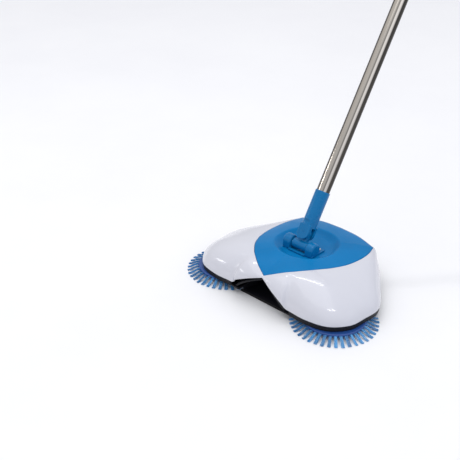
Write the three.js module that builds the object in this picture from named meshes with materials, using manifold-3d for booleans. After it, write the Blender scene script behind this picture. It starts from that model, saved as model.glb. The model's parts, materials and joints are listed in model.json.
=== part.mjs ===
// Hand-push spin sweeper: a low two-lobed head with two side brushes, a roller brush, a dust bin
// and a telescoping steel handle on a universal joint.
// Millimetres, +Z up. The intake faces -Y, the handle leans back towards +Y, X is left to right.
// The head is drawn around the point on the floor midway between the two side brushes.
import * as THREE from 'three';
import { mergeVertices } from 'three/addons/utils/BufferGeometryUtils.js';
import Module from 'manifold-3d';

const wasm = await Module();
wasm.setup();

// ---- driving dimensions ----
const ORIGIN_Y = 242;              // from the brush line to the middle of the whole object's box
const GAP = 0.3;                   // between touching pieces
const SIDES = [['left', -1], ['right', 1]];
const PAST = 20;                   // how far a through cut runs past what it cuts

// Casing
const RIM_Z = 17;                  // lower edge of the white cover
const COVER_WALL = 2.8;
const COVER_SCREWS = [[124.5, 48], [82, 110]];
const SCREW_BOSS_R = 3.5;
const SCREW = { shank: 1.4, hole: 1.75, head: 3.2, headLow: 7.8, top: 26 };
const PANEL = { topZ: 61, centreY: 50, crown: 2.5, wall: 2.5, shrink: 0.993 };
const DISH = { y: 60, floorZ: 51.5, floorR: 36.5, topZ: 62, topR: 50.5 };   // conical recess

// Chassis
const PLATE = { low: 9.2, high: 11.5 };
const CURB = { inset: 1.4, thick: 2.2, open: 52, openRear: 20 };   // upright edge, open at the intake
const NOTCH = { half: 38, rear: 47.5 };                            // over the roller brush
const WELL = { x: [75, 94.2], y: [62, 102] };                      // for a drive wheel
const BLOCK = { half: 5, layHalf: 5.2, low: PLATE.low + 0.5, top: 26 };
const LAY_BLOCKS = [[31, 35], [52, 56]];
const INNER_BEARING = [60.5, 63.5];
const OUTER_BEARING = [101.5, 105];
const BUSH_R = 4;

// Intake: the duct's outer path from its right foot to its crown, then the ramp under it
const DUCT_WALL = 1.8;
const DUCT_FRONT = [[46.5, -40.5, 11.8], [38, -41.5, 20], [22, -40, 30.8], [0, -33.5, 39.6]];
const DUCT_BEND = [[46.5, 4, 11.8], [46.5, 4, 38], [38, 4, 46], [0, 4, 47]];
const DUCT_REAR = DUCT_BEND.map(([x, , z]) => [x, 47, z]);
const RAMP = {
  front: -29, rear: 47, low: 0.5, rise: 8.9, thick: 2, half: 46, narrow: 37.5, narrowFrom: 15,
};
const LIP = { half: 44, long: 3.2, high: 2 };

// Side brushes
const BRUSH_X = 98.25;
const BRUSH = { radius: 61, flat: 54, low: 3.5, high: 8, hub: 43.5, boss: 9, swing: 62.5 };
const HUB_SCREW = { low: 3.2, neck: 4.6, top: 13.2, head: 3.6 };

// Drive wheels and gears
const AXLE = { y: 82, z: 21, radius: 2.5, from: 60, to: 106 };
const WHEEL_X = [76, 90];
const WHEEL = { tyre: 21, shoulder: 1.6, rim: 17, wall: 3, hub: 6, dish: 5 };
const MODULE = 1.5;                // gear tooth size: pitch diameter over teeth
const TOOTH = { above: 1.2, below: 1.8, width: 1.3, pinionWidth: 1.8, taper: 1.4 };
const PINION_TEETH = 8;
const WHEEL_TEETH = 20;
const BRUSH_TEETH = 30;
const PINION_R = MODULE * PINION_TEETH / 2;
const WHEEL_GEAR_R = MODULE * WHEEL_TEETH / 2;
const BRUSH_GEAR_R = MODULE * BRUSH_TEETH / 2;
const FACE = { width: 5, root: TOOTH.above + GAP, tall: 2 * TOOTH.above + GAP };   // face gears
const PINION_HALF = 2.7;
const LAY_SHAFT = { radius: 2, front: 17, rear: 74 };

// Roller brush, its pulleys and belt
const ROLLER = { y: 22, z: 27, radius: 16.8, core: 7, half: 37, bare: 2, shaftFrom: -49.5 };
const PULLEY = { radius: 7, from: 66, to: 72 };
const BELT = { from: 67.5, to: 70.5, thick: 1.8 };

// Dust bin, its floor door and the rear rollers
const BIN = { half: 52, front: 51, rear: 128, top: 43, wall: 2 };
const DOOR = { half: 48.6, hingeY: 52.5, hingeZ: 9.2, rear: 125.6, barrel: 2.2, pin: 1, gap: 0.4 };
const DOOR_LUG = { thick: 3.6, half: 3, low: 6.6 };
const LATCH = { half: 12, from: 122.5, to: 133.5, low: 6.7, high: 9.2, rib: 0.8, ribHalf: 6 };
const GUIDE = { along: [128, 131], thick: 2.7, lap: 2, drop: 1.8 };
const REAR_ROLLER = { x: 61, y: 122, radius: 8, half: 5, pin: 1.5, gap: 0.5 };
const ROLLER_LUG = { thick: 3, half: 4, drop: 3.4 };

// Universal joint: the pitch pin along X, the tilt pin across it further up the handle
const LEAN = THREE.MathUtils.degToRad(32.4);   // handle back from upright
const PIVOT = { y: 45.5, z: 60 };
const PIN_R = 2.5;
const TILT_PIN_H = 18;             // tilt pin above the pitch pin, along the handle
const BASE = { low: 51.8, high: 54, front: 37, lip: 33.5, rear: 66 };
const BOSS = { radius: 10, inner: 13, outer: 27 };
const BASE_SCREW = { x: 20, y: 61, hole: 1.6, shank: 1.3, head: 2.8, low: 45, top: 55.6 };
const CROSS = { barrel: 7, half: 12.6, tang: 7.5, tangTop: 8, thick: 3.5, stemLow: 2 };
const EAR = { radius: 9.5, inner: 3.9, outer: 9.5, shoulder: 9 };
const SLEEVE = { radius: 10.75, bore: 9.8, floor: 37, top: 81 };

// Telescoping handle, along the handle's own Z
const LOWER_TUBE = { radius: 9.5, bore: 9.15, from: 37.3, to: 556 };
const UPPER_TUBE = { radius: 8, bore: 7.65, from: 370, to: 884 };
const PLUG = { flange: 12, spigot: 16 };
const COLLAR = { radius: 13.5, from: 538, to: 585, chamfer: [2.5, 6], neck: 8, shoulder: 14 };
const FLUTE = { count: 8, radius: 1.6, out: 0.6, end: 10 };
const COLLAR_SEAT = { radius: 11, step: 556.3, top: 562, skirt: 4 };
const GRIP = { radius: 12.5, from: 780, to: 892 };
const TAB = { top: 912, half: 3, radius: 9, eye: 5, root: 4 };

// ---- outline of the head ----
// Knots of the two edges of the white cover's right half, front to rear: [x, y, z] on the panel's
// edge, then [x, y, z] on the lower rim. Between the two the cover falls in a quarter of a
// superellipse with the exponents of SWELL.
const SWELL = { out: 1.7, down: 0.58 };
const ARCH = [
  [[0, -33, 44.6], [0, -36.4, 42.3]],
  [[14.8, -26.9, 51.1], [20.9, -43.4, 35.5]],
  [[28, -18.6, 55.6], [42, -46.1, 25.2]],
  [[36.5, -12, 57.3], [51.5, -43.5, RIM_Z]],
];
const FLANK = [
  ARCH[3],
  [[41.7, -6.9, 58.1], [82, -44.3, RIM_Z]],
  [[51.5, 5.2, 58.5], [114, -36.5, RIM_Z]],
  [[59, 18.7, 57.2], [134, -14, RIM_Z]],
  [[65, 32.4, 55.3], [138.2, 12, RIM_Z]],
  [[71.6, 58.2, 51.7], [138, 45, RIM_Z]],
  [[73.5, 86.2, 49.1], [114.5, 82, RIM_Z]],
  [[71.3, 108.7, 47.7], [91.5, 112, RIM_Z]],
  [[65.3, 128.6, 47], [71, 134, RIM_Z]],
];
const REAR = [
  FLANK[8],
  [[33, 135.5, 50], [37, 142, RIM_Z]],
  [[0, 137, 51], [0, 143.5, RIM_Z]],
];

const COLOURS = {
  white: [0xe7ecef, 0.25, 0], blue: [0x2b89cb, 0.35, 0], navy: [0x274e8f, 0.45, 0],
  bristle: [0x427eaf, 0.7, 0], black: [0x11141b, 0.5, 0], rubber: [0x1b1b1d, 0.9, 0],
  steel: [0xc7beae, 0.25, 1], nylon: [0xd9d9d2, 0.5, 0],
};

// ---- solids ----
function tidy(geometry) {
  geometry.deleteAttribute('normal');
  geometry.deleteAttribute('uv');
  const merged = mergeVertices(geometry, 1e-3);
  const index = merged.index.array;
  const kept = [];
  for (let i = 0; i < index.length; i += 3) {
    const [a, b, c] = index.slice(i, i + 3);
    if (a !== b && b !== c && c !== a) kept.push(a, b, c);
  }
  merged.setIndex(kept);
  return facingOut(merged);
}

function facingOut(geometry) {
  const p = geometry.attributes.position;
  const index = geometry.index.array;
  const [a, b, c] = [new THREE.Vector3(), new THREE.Vector3(), new THREE.Vector3()];
  let volume = 0;
  for (let i = 0; i < index.length; i += 3) {
    a.fromBufferAttribute(p, index[i]);
    b.fromBufferAttribute(p, index[i + 1]);
    c.fromBufferAttribute(p, index[i + 2]);
    volume += a.dot(b.cross(c));
  }
  if (volume < 0) geometry.setIndex(Array.from(index).reverse());
  return geometry;
}

function solid(geometry) {
  const closed = tidy(geometry);
  const vertProperties = new Float32Array(closed.attributes.position.array);
  const triVerts = new Uint32Array(closed.index.array);
  return new wasm.Manifold(new wasm.Mesh({ numProp: 3, vertProperties, triVerts }));
}

function geometryOf(shape) {
  const mesh = shape.getMesh();
  const geometry = new THREE.BufferGeometry();
  geometry.setAttribute('position', new THREE.BufferAttribute(new Float32Array(mesh.vertProperties), 3));
  geometry.setIndex(new THREE.BufferAttribute(new Uint32Array(mesh.triVerts), 1));
  return geometry;
}

const join = (...shapes) => shapes.reduce((whole, shape) => whole.add(shape));
const cut = (shape, ...tools) => tools.reduce((whole, tool) => whole.subtract(tool), shape);

function block([x0, x1], [y0, y1], [z0, z1]) {
  const box = new THREE.BoxGeometry(x1 - x0, y1 - y0, z1 - z0);
  return solid(box.translate((x0 + x1) / 2, (y0 + y1) / 2, (z0 + z1) / 2));
}

// A solid of revolution about Z from [radius, height] points, with a flat facing straight down
// once its axis is laid level.
function turned(points, segments = 20) {
  const profile = points.map(([r, z]) => new THREE.Vector2(r, z));
  const open = points[0][0] > 0;
  if (open) profile.push(profile[0].clone());
  const lathe = new THREE.LatheGeometry(profile, segments, Math.PI / segments);
  return solid(lathe.rotateX(Math.PI / 2));
}

const disc = (radius, low, high, segments) =>
  turned([[0, low], [radius, low], [radius, high], [0, high]], segments);
const ring = (inner, outer, low, high, segments) =>
  turned([[inner, low], [outer, low], [outer, high], [inner, high]], segments);

const alongX = (shape) => shape.rotate([0, 90, 0]);
const alongY = (shape) => shape.rotate([-90, 0, 0]);
const rodX = (radius, [from, to], y, z, segments) =>
  alongX(disc(radius, from, to, segments)).translate([0, y, z]);
const rodY = (radius, [from, to], x, z, segments) =>
  alongY(disc(radius, from, to, segments)).translate([x, 0, z]);
const rodZ = (radius, [from, to], x, y, segments) => disc(radius, from, to, segments).translate([x, y, 0]);

function prism(shape, low, high) {
  const options = { depth: high - low, bevelEnabled: false, curveSegments: 10 };
  return solid(new THREE.ExtrudeGeometry(shape, options).translate(0, 0, low));
}

// The closed wall between two grids of points of the same size.
function slab(outer, inner, wraps = false) {
  const rows = outer.length;
  const columns = outer[0].length;
  const flat = [...outer.flat(), ...inner.flat()];
  const at = (side, i, j) => side * rows * columns + (i % rows) * columns + j;
  const index = [];
  const quad = (a, b, c, d) => index.push(a, b, c, a, c, d);
  for (let i = 0; i < (wraps ? rows : rows - 1); i++) {
    for (let j = 0; j < columns - 1; j++) {
      quad(at(0, i, j), at(0, i + 1, j), at(0, i + 1, j + 1), at(0, i, j + 1));
      quad(at(1, i, j), at(1, i, j + 1), at(1, i + 1, j + 1), at(1, i + 1, j));
    }
    quad(at(1, i, 0), at(1, i + 1, 0), at(0, i + 1, 0), at(0, i, 0));
    const last = columns - 1;
    quad(at(0, i, last), at(0, i + 1, last), at(1, i + 1, last), at(1, i, last));
  }
  for (let j = 0; j < columns - 1 && !wraps; j++) {
    const end = rows - 1;
    quad(at(0, 0, j), at(0, 0, j + 1), at(1, 0, j + 1), at(1, 0, j));
    quad(at(1, end, j), at(1, end, j + 1), at(0, end, j + 1), at(0, end, j));
  }
  const geometry = new THREE.BufferGeometry();
  geometry.setAttribute('position', new THREE.Float32BufferAttribute(flat.flatMap((p) => p.toArray()), 3));
  geometry.setIndex(index);
  return solid(geometry);
}

// ---- surface of the head ----
function stations(knots, edge, steps) {
  const curve = new THREE.CatmullRomCurve3(
    knots.map((pair) => new THREE.Vector3(...pair[edge])), false, 'catmullrom', 0.5);
  return curve.getPoints(steps * (knots.length - 1)).slice(0, -1);
}

function loop(edge, steps) {
  const half = [ARCH, FLANK, REAR].flatMap((knots) => stations(knots, edge, steps));
  const rear = new THREE.Vector3(...REAR[2][edge]);
  const mirrored = half.slice(1).reverse().map((p) => new THREE.Vector3(-p.x, p.y, p.z));
  return [...half, rear, ...mirrored];
}

const PANEL_EDGE = loop(0, 2);
const RIM = loop(1, 2);

// Unit vector, level, from the rim inwards at station i.
function inward(i) {
  const v = PANEL_EDGE[i].clone().sub(RIM[i]).setZ(0);
  return v.normalize();
}

// The cover's section from the panel's edge down to the rim, drawn `inset` inside the outer skin.
function profile(i, inset, steps = 4) {
  const top = PANEL_EDGE[i].clone();
  top.z -= inset;
  const rim = RIM[i].clone().addScaledVector(inward(i), inset);
  const points = [];
  for (let k = 0; k <= steps; k++) {
    const reach = Math.sin(k / steps * Math.PI / 2);
    const p = top.clone().lerp(rim, reach);
    p.z = rim.z + (top.z - rim.z) * (1 - reach ** SWELL.out) ** SWELL.down;
    points.push(p);
  }
  return points;
}

// Rows of the panel's dome from its edge in to its middle, at a depth below the outer skin.
function panelRows(depth, shrink) {
  const reaches = [1, 0.85, 0.68, 0.48, 0.25, 0];
  return PANEL_EDGE.map((edge) => reaches.map((reach) => {
    const x = edge.x * reach * shrink;
    const y = PANEL.centreY + (edge.y - PANEL.centreY) * reach * shrink;
    const z = PANEL.topZ + (edge.z - PANEL.topZ) * reach ** PANEL.crown;
    return new THREE.Vector3(x, y, z - depth);
  }));
}
// ---- gears ----
function toothedShape(teeth, root, tip, width, bore) {
  const shape = new THREE.Shape();
  const crest = width / 2 / TOOTH.taper;
  for (let i = 0; i < teeth; i++) {
    const middle = (i + 0.5) / teeth * 2 * Math.PI;
    const corners = [[root, -width / 2], [tip, -crest], [tip, crest], [root, width / 2]];
    corners.forEach(([r, across], k) => {
      const angle = middle + across / r;
      const [x, y] = [r * Math.cos(angle), r * Math.sin(angle)];
      if (i + k === 0) shape.moveTo(x, y);
      else shape.lineTo(x, y);
    });
  }
  shape.closePath();
  shape.holes.push(new THREE.Path().absarc(0, 0, bore, 0, 2 * Math.PI, true));
  return shape;
}

// A pinion on the lay shaft, centred `at` behind the brush line.
function pinion(at) {
  const [root, tip] = [PINION_R - TOOTH.below, PINION_R + TOOTH.above];
  const shape = toothedShape(PINION_TEETH, root, tip, TOOTH.pinionWidth, LAY_SHAFT.radius + GAP);
  return alongY(prism(shape, at - PINION_HALF, at + PINION_HALF)).translate([BRUSH_X, 0, AXLE.z]);
}

// Radial teeth standing on a flat ring; the first one points along +Y.
function faceTeeth(teeth, radius, root) {
  const across = [-TOOTH.width / 2, TOOTH.width / 2];
  const along = [radius - FACE.width / 2, radius + FACE.width / 2];
  const bars = [];
  for (let i = 0; i < teeth; i++) {
    bars.push(block(across, along, [root - GAP, root + FACE.tall]).rotate([0, 0, i * 360 / teeth]));
  }
  return join(...bars);
}

// ---- scene graph ----
const sweeper = new THREE.Group();
const head = new THREE.Group();
const handle = new THREE.Group();
head.position.y = -ORIGIN_Y;
handle.position.set(0, PIVOT.y, PIVOT.z);
handle.rotation.x = -LEAN;
head.add(handle);
sweeper.add(head);

function place(group, name, shape, colour) {
  const [color, roughness, metalness] = COLOURS[colour];
  const material = new THREE.MeshStandardMaterial({ color, roughness, metalness });
  const mesh = new THREE.Mesh(geometryOf(shape), material);
  mesh.name = name;
  group.add(mesh);
}

const inHead = (name, shape, colour) => place(head, name, shape, colour);
const onHandle = (name, shape, colour) => place(handle, name, shape, colour);
const mirrorX = (shape) => shape.mirror([1, 0, 0]);
const toSide = (shape, sign) => (sign > 0 ? shape : mirrorX(shape));

// ---- casing ----
function headVolume(inset) {
  const rows = RIM.map((_, i) => [...profile(i, inset).reverse(), ...panelRows(inset, 1)[i].slice(1)]);
  const floor = rows.map((row) => row.map((p) => new THREE.Vector3(p.x, p.y, PLATE.high + GAP)));
  return slab(rows, floor, true);
}

function topCover() {
  const outer = RIM.map((_, i) => profile(i, 0));
  const inner = RIM.map((_, i) => profile(i, COVER_WALL));
  const shell = slab(outer, inner, true);
  const bosses = COVER_SCREWS.map(([x, y]) =>
    rodZ(SCREW_BOSS_R, [PLATE.high + GAP, PANEL.topZ], x, y, 10).intersect(headVolume(COVER_WALL / 2)));
  const holes = COVER_SCREWS.map(([x, y]) => rodZ(SCREW.hole, [0, SCREW.top + GAP], x, y, 8));
  return cut(join(shell, ...bosses, ...bosses.map(mirrorX)), ...holes, ...holes.map(mirrorX));
}

function dishCone(wall) {
  const { floorZ, floorR, topZ, topR, y } = DISH;
  const low = floorZ - wall;
  const cone = turned([[0, low], [floorR + wall, low], [topR + wall, topZ], [0, topZ]], 40);
  return cone.translate([0, y, 0]);
}

function topPanel() {
  const dome = slab(panelRows(0, PANEL.shrink), panelRows(PANEL.wall, PANEL.shrink), true);
  const bowl = dishCone(PANEL.wall).intersect(headVolume(PANEL.wall / 2));
  const hole = rodZ(BASE_SCREW.hole, [0, PANEL.topZ], BASE_SCREW.x, BASE_SCREW.y, 8);
  return cut(join(dome, bowl), dishCone(0), hole, mirrorX(hole));
}

// A screw along Z: its head from `face` to `neck`, its shank on to `end`.
function screw(x, y, [face, neck, end], headRadius, shankRadius) {
  const [low, high] = [Math.min(face, neck), Math.max(face, neck)];
  const shank = rodZ(shankRadius, [Math.min(face, end), Math.max(face, end)], x, y, 8);
  return join(rodZ(headRadius, [low, high], x, y, 12), shank);
}

inHead('top_cover', topCover(), 'white');
inHead('top_panel', topPanel(), 'blue');

COVER_SCREWS.forEach(([x, y], i) => {
  const name = i === 0 ? 'front' : 'rear';
  const body = screw(x, y, [SCREW.headLow, PLATE.low - GAP, SCREW.top], SCREW.head, SCREW.shank);
  for (const [side, sign] of SIDES) inHead(`cover_screw_${name}_${side}`, toSide(body, sign), 'steel');
});

// ---- chassis ----
// The rim's outline behind the arch, as a level shape.
function footprint(inset) {
  const first = ARCH.length * 2 - 2;
  const count = RIM.length - 2 * first + 1;
  const points = RIM.slice(first, first + count).map((p, k) => {
    const moved = p.clone().addScaledVector(inward(first + k), inset);
    return new THREE.Vector2(moved.x, moved.y);
  });
  return new THREE.Shape(points);
}

function bearingBlocks() {
  const around = [AXLE.y - BLOCK.half, AXLE.y + BLOCK.half];
  const across = [BRUSH_X - BLOCK.layHalf, BRUSH_X + BLOCK.layHalf];
  const tall = [BLOCK.low, BLOCK.top];
  const axleBlocks = [INNER_BEARING, OUTER_BEARING].map((span) => block(span, around, tall));
  return join(...axleBlocks, ...LAY_BLOCKS.map((span) => block(across, span, tall)));
}

function bearingBores() {
  const through = ([from, to]) => [from - 1, to + 1];
  const laySpan = [LAY_BLOCKS[0][0], LAY_BLOCKS[1][1]];
  return [
    rodX(AXLE.radius + GAP, through(INNER_BEARING), AXLE.y, AXLE.z, 16),
    rodX(BUSH_R + GAP, through(OUTER_BEARING), AXLE.y, AXLE.z, 16),
    rodY(LAY_SHAFT.radius + GAP, through(laySpan), BRUSH_X, AXLE.z, 16),
  ];
}

function rearRollerLugs() {
  const { x, y, radius, half, gap } = REAR_ROLLER;
  const tall = [radius - ROLLER_LUG.drop, PLATE.high - GAP];
  const along = [y - ROLLER_LUG.half, y + ROLLER_LUG.half];
  const lug = (from) => block([from, from + ROLLER_LUG.thick], along, tall);
  return join(lug(x - half - gap - ROLLER_LUG.thick), lug(x + half + gap));
}

function doorLug() {
  const { half, gap, hingeY } = DOOR;
  const across = [half + gap, half + gap + DOOR_LUG.thick];
  return block(across, [hingeY - DOOR_LUG.half, hingeY + DOOR_LUG.half], [DOOR_LUG.low, PLATE.high - GAP]);
}

// An L under each end of the latch.
function latchGuide() {
  const low = LATCH.low - GUIDE.drop;
  const outer = LATCH.half + GAP + GUIDE.thick;
  const wall = block([LATCH.half + GAP, outer], GUIDE.along, [low, PLATE.high - GAP]);
  return join(wall, block([LATCH.half - GUIDE.lap, outer], GUIDE.along, [low, LATCH.low - GAP]));
}

function rightOpenings() {
  const through = [0, PAST];
  const { x, y, radius, half, gap } = REAR_ROLLER;
  return [
    block(WELL.x, WELL.y, through),
    rodZ(BRUSH.boss + GAP, through, BRUSH_X, 0, 24),
    block([x - half - gap, x + half + gap], [y - radius - 1, y + radius + 1], through),
    ...COVER_SCREWS.map(([sx, sy]) => rodZ(SCREW.hole, through, sx, sy, 8)),
  ];
}

function pinBores() {
  const { x, y, radius, pin } = REAR_ROLLER;
  const { half, hingeY, hingeZ } = DOOR;
  return [
    rodX(pin + GAP, [x - PAST / 2, x + PAST / 2], y, radius, 12),
    rodX(DOOR.pin + GAP, [half, half + DOOR.gap + DOOR_LUG.thick + 1], hingeY, hingeZ, 12),
  ];
}

function chassisPlate() {
  const { half, hingeY, barrel, rear, gap } = DOOR;
  const through = [0, PAST];
  const notch = block([-NOTCH.half, NOTCH.half], [-BRUSH.radius, NOTCH.rear], through);
  const doorway = block([-half - gap, half + gap], [hingeY - barrel - gap, rear + gap], through);
  const plate = prism(footprint(CURB.inset), PLATE.low, PLATE.high);
  return cut(plate, notch, doorway, ...rightOpenings(), ...rightOpenings().map(mirrorX));
}

function chassisCurb() {
  const wall = prism(footprint(CURB.inset), PLATE.high - GAP, RIM_Z - GAP);
  const inside = prism(footprint(CURB.inset + CURB.thick), 0, PAST);
  return cut(wall, inside, block([-CURB.open, CURB.open], [-BRUSH.radius, CURB.openRear], [0, PAST]));
}

function chassis() {
  const fittings = join(bearingBlocks(), rearRollerLugs(), doorLug(), latchGuide());
  const bores = [...bearingBores(), ...pinBores()];
  const tray = join(chassisPlate(), chassisCurb(), fittings, mirrorX(fittings));
  return cut(tray, ...bores, ...bores.map(mirrorX));
}

// ---- intake ----
// Across the duct from its left foot over its crown to its right foot. The wall is taken off the
// feet sideways and off the crown downwards.
function ductRow(half, inset) {
  const right = half.map(([x, y, z], i) => {
    const crown = i === half.length - 1;
    return new THREE.Vector3(crown ? x : x - inset, y, i === 0 ? z : z - inset);
  });
  const left = right.slice(0, -1).map((p) => new THREE.Vector3(-p.x, p.y, p.z));
  return [...left, ...right.reverse()];
}

function intakeDuct() {
  const sections = [DUCT_FRONT, DUCT_BEND, DUCT_REAR];
  const walls = slab(sections.map((s) => ductRow(s, 0)), sections.map((s) => ductRow(s, DUCT_WALL)));
  return cut(walls, rodX(AXLE.radius + GAP, [-BRUSH.radius, BRUSH.radius], ROLLER.y, ROLLER.z, 16));
}

// The ramp narrows behind narrowFrom, and its corners leave room for the side brushes to swing.
function intakeRamp() {
  const { front, rear, low, rise, thick, half, narrow, narrowFrom } = RAMP;
  const side = new THREE.Shape([
    new THREE.Vector2(front, low),
    new THREE.Vector2(rear, low + rise),
    new THREE.Vector2(rear, low + rise + thick),
    new THREE.Vector2(front, low + thick),
  ]);
  // A prism along Z whose section is (Y, Z) turns to lie along X.
  const wedge = prism(side, -half, half).rotate([90, 0, 90]);
  const trim = block([narrow, half + 1], [narrowFrom, rear + 1], [0, PAST]);
  const swing = rodZ(BRUSH.swing, [-1, PAST], BRUSH_X, 0, 48);
  return cut(wedge, trim, mirrorX(trim), swing, mirrorX(swing));
}

const lipRear = RAMP.front - GAP;
const lip = block([-LIP.half, LIP.half], [lipRear - LIP.long, lipRear], [RAMP.low, LIP.high]);
inHead('chassis', chassis(), 'black');
inHead('intake_duct', intakeDuct(), 'black');
inHead('intake_ramp', intakeRamp(), 'black');
inHead('intake_lip', lip, 'rubber');

// ---- wheels and drive ----
// A ring about the wheels' axle, laid along X.
const axleRing = (inner, outer, [from, to], segments) =>
  alongX(ring(inner, outer, from, to, segments)).translate([0, AXLE.y, AXLE.z]);

// The wheel is drawn along Z, inner face at WHEEL_X[0], then laid along X.
function wheel() {
  const [from, to] = WHEEL_X;
  const root = BRUSH_X - PINION_R - FACE.root;
  const bore = AXLE.radius + GAP;
  const inside = WHEEL.rim - WHEEL.wall;
  const body = turned([
    [bore, from], [WHEEL.hub, from], [WHEEL.hub, from + WHEEL.dish], [inside, from + WHEEL.dish],
    [inside, from], [WHEEL.rim, from], [WHEEL.rim, to], [bore, to],
  ]);
  const web = ring(bore, WHEEL_GEAR_R + FACE.width / 2, to - 1, root);
  const teeth = faceTeeth(WHEEL_TEETH, WHEEL_GEAR_R, root);
  return alongX(join(body, web, teeth)).translate([0, AXLE.y, AXLE.z]);
}

function tyre() {
  const sides = 24;
  const bore = WHEEL.rim + GAP;
  const outer = WHEEL.tyre / Math.cos(Math.PI / sides);    // the flat underneath is at tyre radius
  const [from, to] = [WHEEL_X[0], WHEEL_X[1] - 1 - GAP];
  const { shoulder } = WHEEL;
  const section = [
    [bore, from], [outer - shoulder, from], [outer, from + shoulder],
    [outer, to - shoulder], [outer - shoulder, to], [bore, to],
  ];
  return alongX(turned(section, sides)).translate([0, AXLE.y, AXLE.z]);
}

function brushGear() {
  const root = AXLE.z - PINION_R - FACE.root;
  const plate = ring(SCREW.hole, BRUSH_GEAR_R + FACE.width / 2, PLATE.high + GAP, root, 36);
  return join(plate, faceTeeth(BRUSH_TEETH, BRUSH_GEAR_R, root)).translate([BRUSH_X, 0, 0]);
}

// Disc under the chassis with a raised boss through it; the screw's head sits in a recess below.
function brushHub() {
  const { hub, boss, low, high } = BRUSH;
  const [recess, neck, top] = [HUB_SCREW.head + GAP, HUB_SCREW.neck + GAP, PLATE.low - GAP];
  return turned([
    [SCREW.hole, neck], [recess, neck], [recess, low], [hub - 5.5, low], [hub, low + 1], [hub, high],
    [hub - 4.5, top], [boss, top], [boss, PLATE.high], [SCREW.hole, PLATE.high],
  ], 28).translate([BRUSH_X, 0, 0]);
}

// The splayed tufts as one solid: level at the hub, flat on the floor outside BRUSH.flat.
function bristleRing() {
  const { radius, flat, low, high, hub } = BRUSH;
  const root = hub + GAP;
  return turned([
    [root, low], [flat, 0], [radius, 0], [radius, 1.6], [root + 4.2, high - 1], [root, high],
  ], 40).translate([BRUSH_X, 0, 0]);
}

function drive(add) {
  const { from, to, y, z, radius } = AXLE;
  const { low, neck, top, head: screwHead } = HUB_SCREW;
  add('wheel', wheel(), 'nylon');
  add('tyre', tyre(), 'rubber');
  add('stub_axle', rodX(radius, [from, to], y, z, 16), 'steel');
  add('axle_bush', axleRing(radius + GAP, BUSH_R, OUTER_BEARING, 16), 'nylon');
  add('lay_shaft', rodY(LAY_SHAFT.radius, [LAY_SHAFT.front, LAY_SHAFT.rear], BRUSH_X, z, 16), 'steel');
  add('front_pinion', pinion(BRUSH_GEAR_R), 'nylon');
  add('rear_pinion', pinion(y - WHEEL_GEAR_R), 'nylon');
  add('brush_gear', brushGear(), 'nylon');
  add('side_brush_hub', brushHub(), 'navy');
  add('side_brush_bristles', bristleRing(), 'bristle');
  add('brush_screw', screw(BRUSH_X, 0, [low, neck, top], screwHead, SCREW.shank), 'steel');
}

for (const [side, sign] of SIDES) {
  drive((name, shape, colour) => inHead(`${name}_${side}`, toSide(shape, sign), colour));
}

// ---- roller brush and its belt ----
const rollerRing = (inner, outer, [from, to]) =>
  alongX(ring(inner, outer, from, to)).translate([0, ROLLER.y, ROLLER.z]);

function stadium(radius, length) {
  const shape = new THREE.Shape();
  shape.absarc(0, 0, radius, Math.PI / 2, 3 * Math.PI / 2);
  shape.absarc(length, 0, radius, -Math.PI / 2, Math.PI / 2);
  shape.closePath();
  return shape;
}

// Flat belt, drawn level from the roller's pulley, then turned towards the wheels' axle.
function rollerBelt() {
  const [dy, dz] = [AXLE.y - ROLLER.y, AXLE.z - ROLLER.z];
  const length = Math.hypot(dy, dz);
  const inner = PULLEY.radius + GAP;
  const outside = prism(stadium(inner + BELT.thick, length), BELT.from, BELT.to);
  const inside = prism(stadium(inner, length), BELT.from - 1, BELT.to + 1);
  const tilt = THREE.MathUtils.radToDeg(Math.atan2(dz, dy));
  return cut(outside, inside).rotate([0, 0, tilt]).rotate([90, 0, 90]).translate([0, ROLLER.y, ROLLER.z]);
}

const pulley = (y, z) =>
  alongX(ring(AXLE.radius + GAP, PULLEY.radius, PULLEY.from, PULLEY.to)).translate([0, y, z]);
const shaftSpan = [ROLLER.shaftFrom, PULLEY.to + 1];
const coreSpan = [-ROLLER.half, ROLLER.half];
const tuftSpan = [ROLLER.bare - ROLLER.half, ROLLER.half - ROLLER.bare];

inHead('roller_shaft', rodX(AXLE.radius, shaftSpan, ROLLER.y, ROLLER.z, 16), 'steel');
inHead('roller_core', rollerRing(AXLE.radius + GAP, ROLLER.core, coreSpan), 'navy');
inHead('roller_bristles', rollerRing(ROLLER.core + GAP, ROLLER.radius, tuftSpan), 'bristle');
inHead('roller_pulley', pulley(ROLLER.y, ROLLER.z), 'nylon');
inHead('drive_pulley', pulley(AXLE.y, AXLE.z), 'nylon');
inHead('roller_belt', rollerBelt(), 'rubber');

// ---- dust bin, its floor door and the rear rollers ----
// Open at the front, towards the duct, and underneath, where the door closes it.
function dustBin() {
  const { half, front, rear, top, wall } = BIN;
  const low = PLATE.high + GAP;
  const room = block([wall - half, half - wall], [front - 1, rear - wall], [low - 1, top - wall]);
  return cut(block([-half, half], [front, rear], [low, top]), room);
}

function binDoor() {
  const { half, hingeY, hingeZ, rear, barrel, pin } = DOOR;
  const leaf = block([-half, half], [hingeY, rear], [PLATE.low, PLATE.high - GAP]);
  const knuckle = rodX(barrel, [-half, half], hingeY, hingeZ, 16);
  return cut(join(leaf, knuckle), rodX(pin + GAP, [-half - 1, half + 1], hingeY, hingeZ, 12));
}

function binLatch() {
  const { half, from, to, low, high, rib, ribHalf } = LATCH;
  const ribs = [1, 3, 5].map((k) =>
    block([-ribHalf, ribHalf], [from + k, from + k + 1], [low - rib, low + rib]));
  return join(block([-half, half], [from, to], [low, high - GAP]), ...ribs);
}

function rearRoller() {
  const sides = 20;
  const { x, y, radius, half, pin } = REAR_ROLLER;
  const outer = radius / Math.cos(Math.PI / sides);        // the flat underneath is at roller radius
  return alongX(ring(pin + GAP, outer, x - half, x + half, sides)).translate([0, y, radius]);
}

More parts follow.
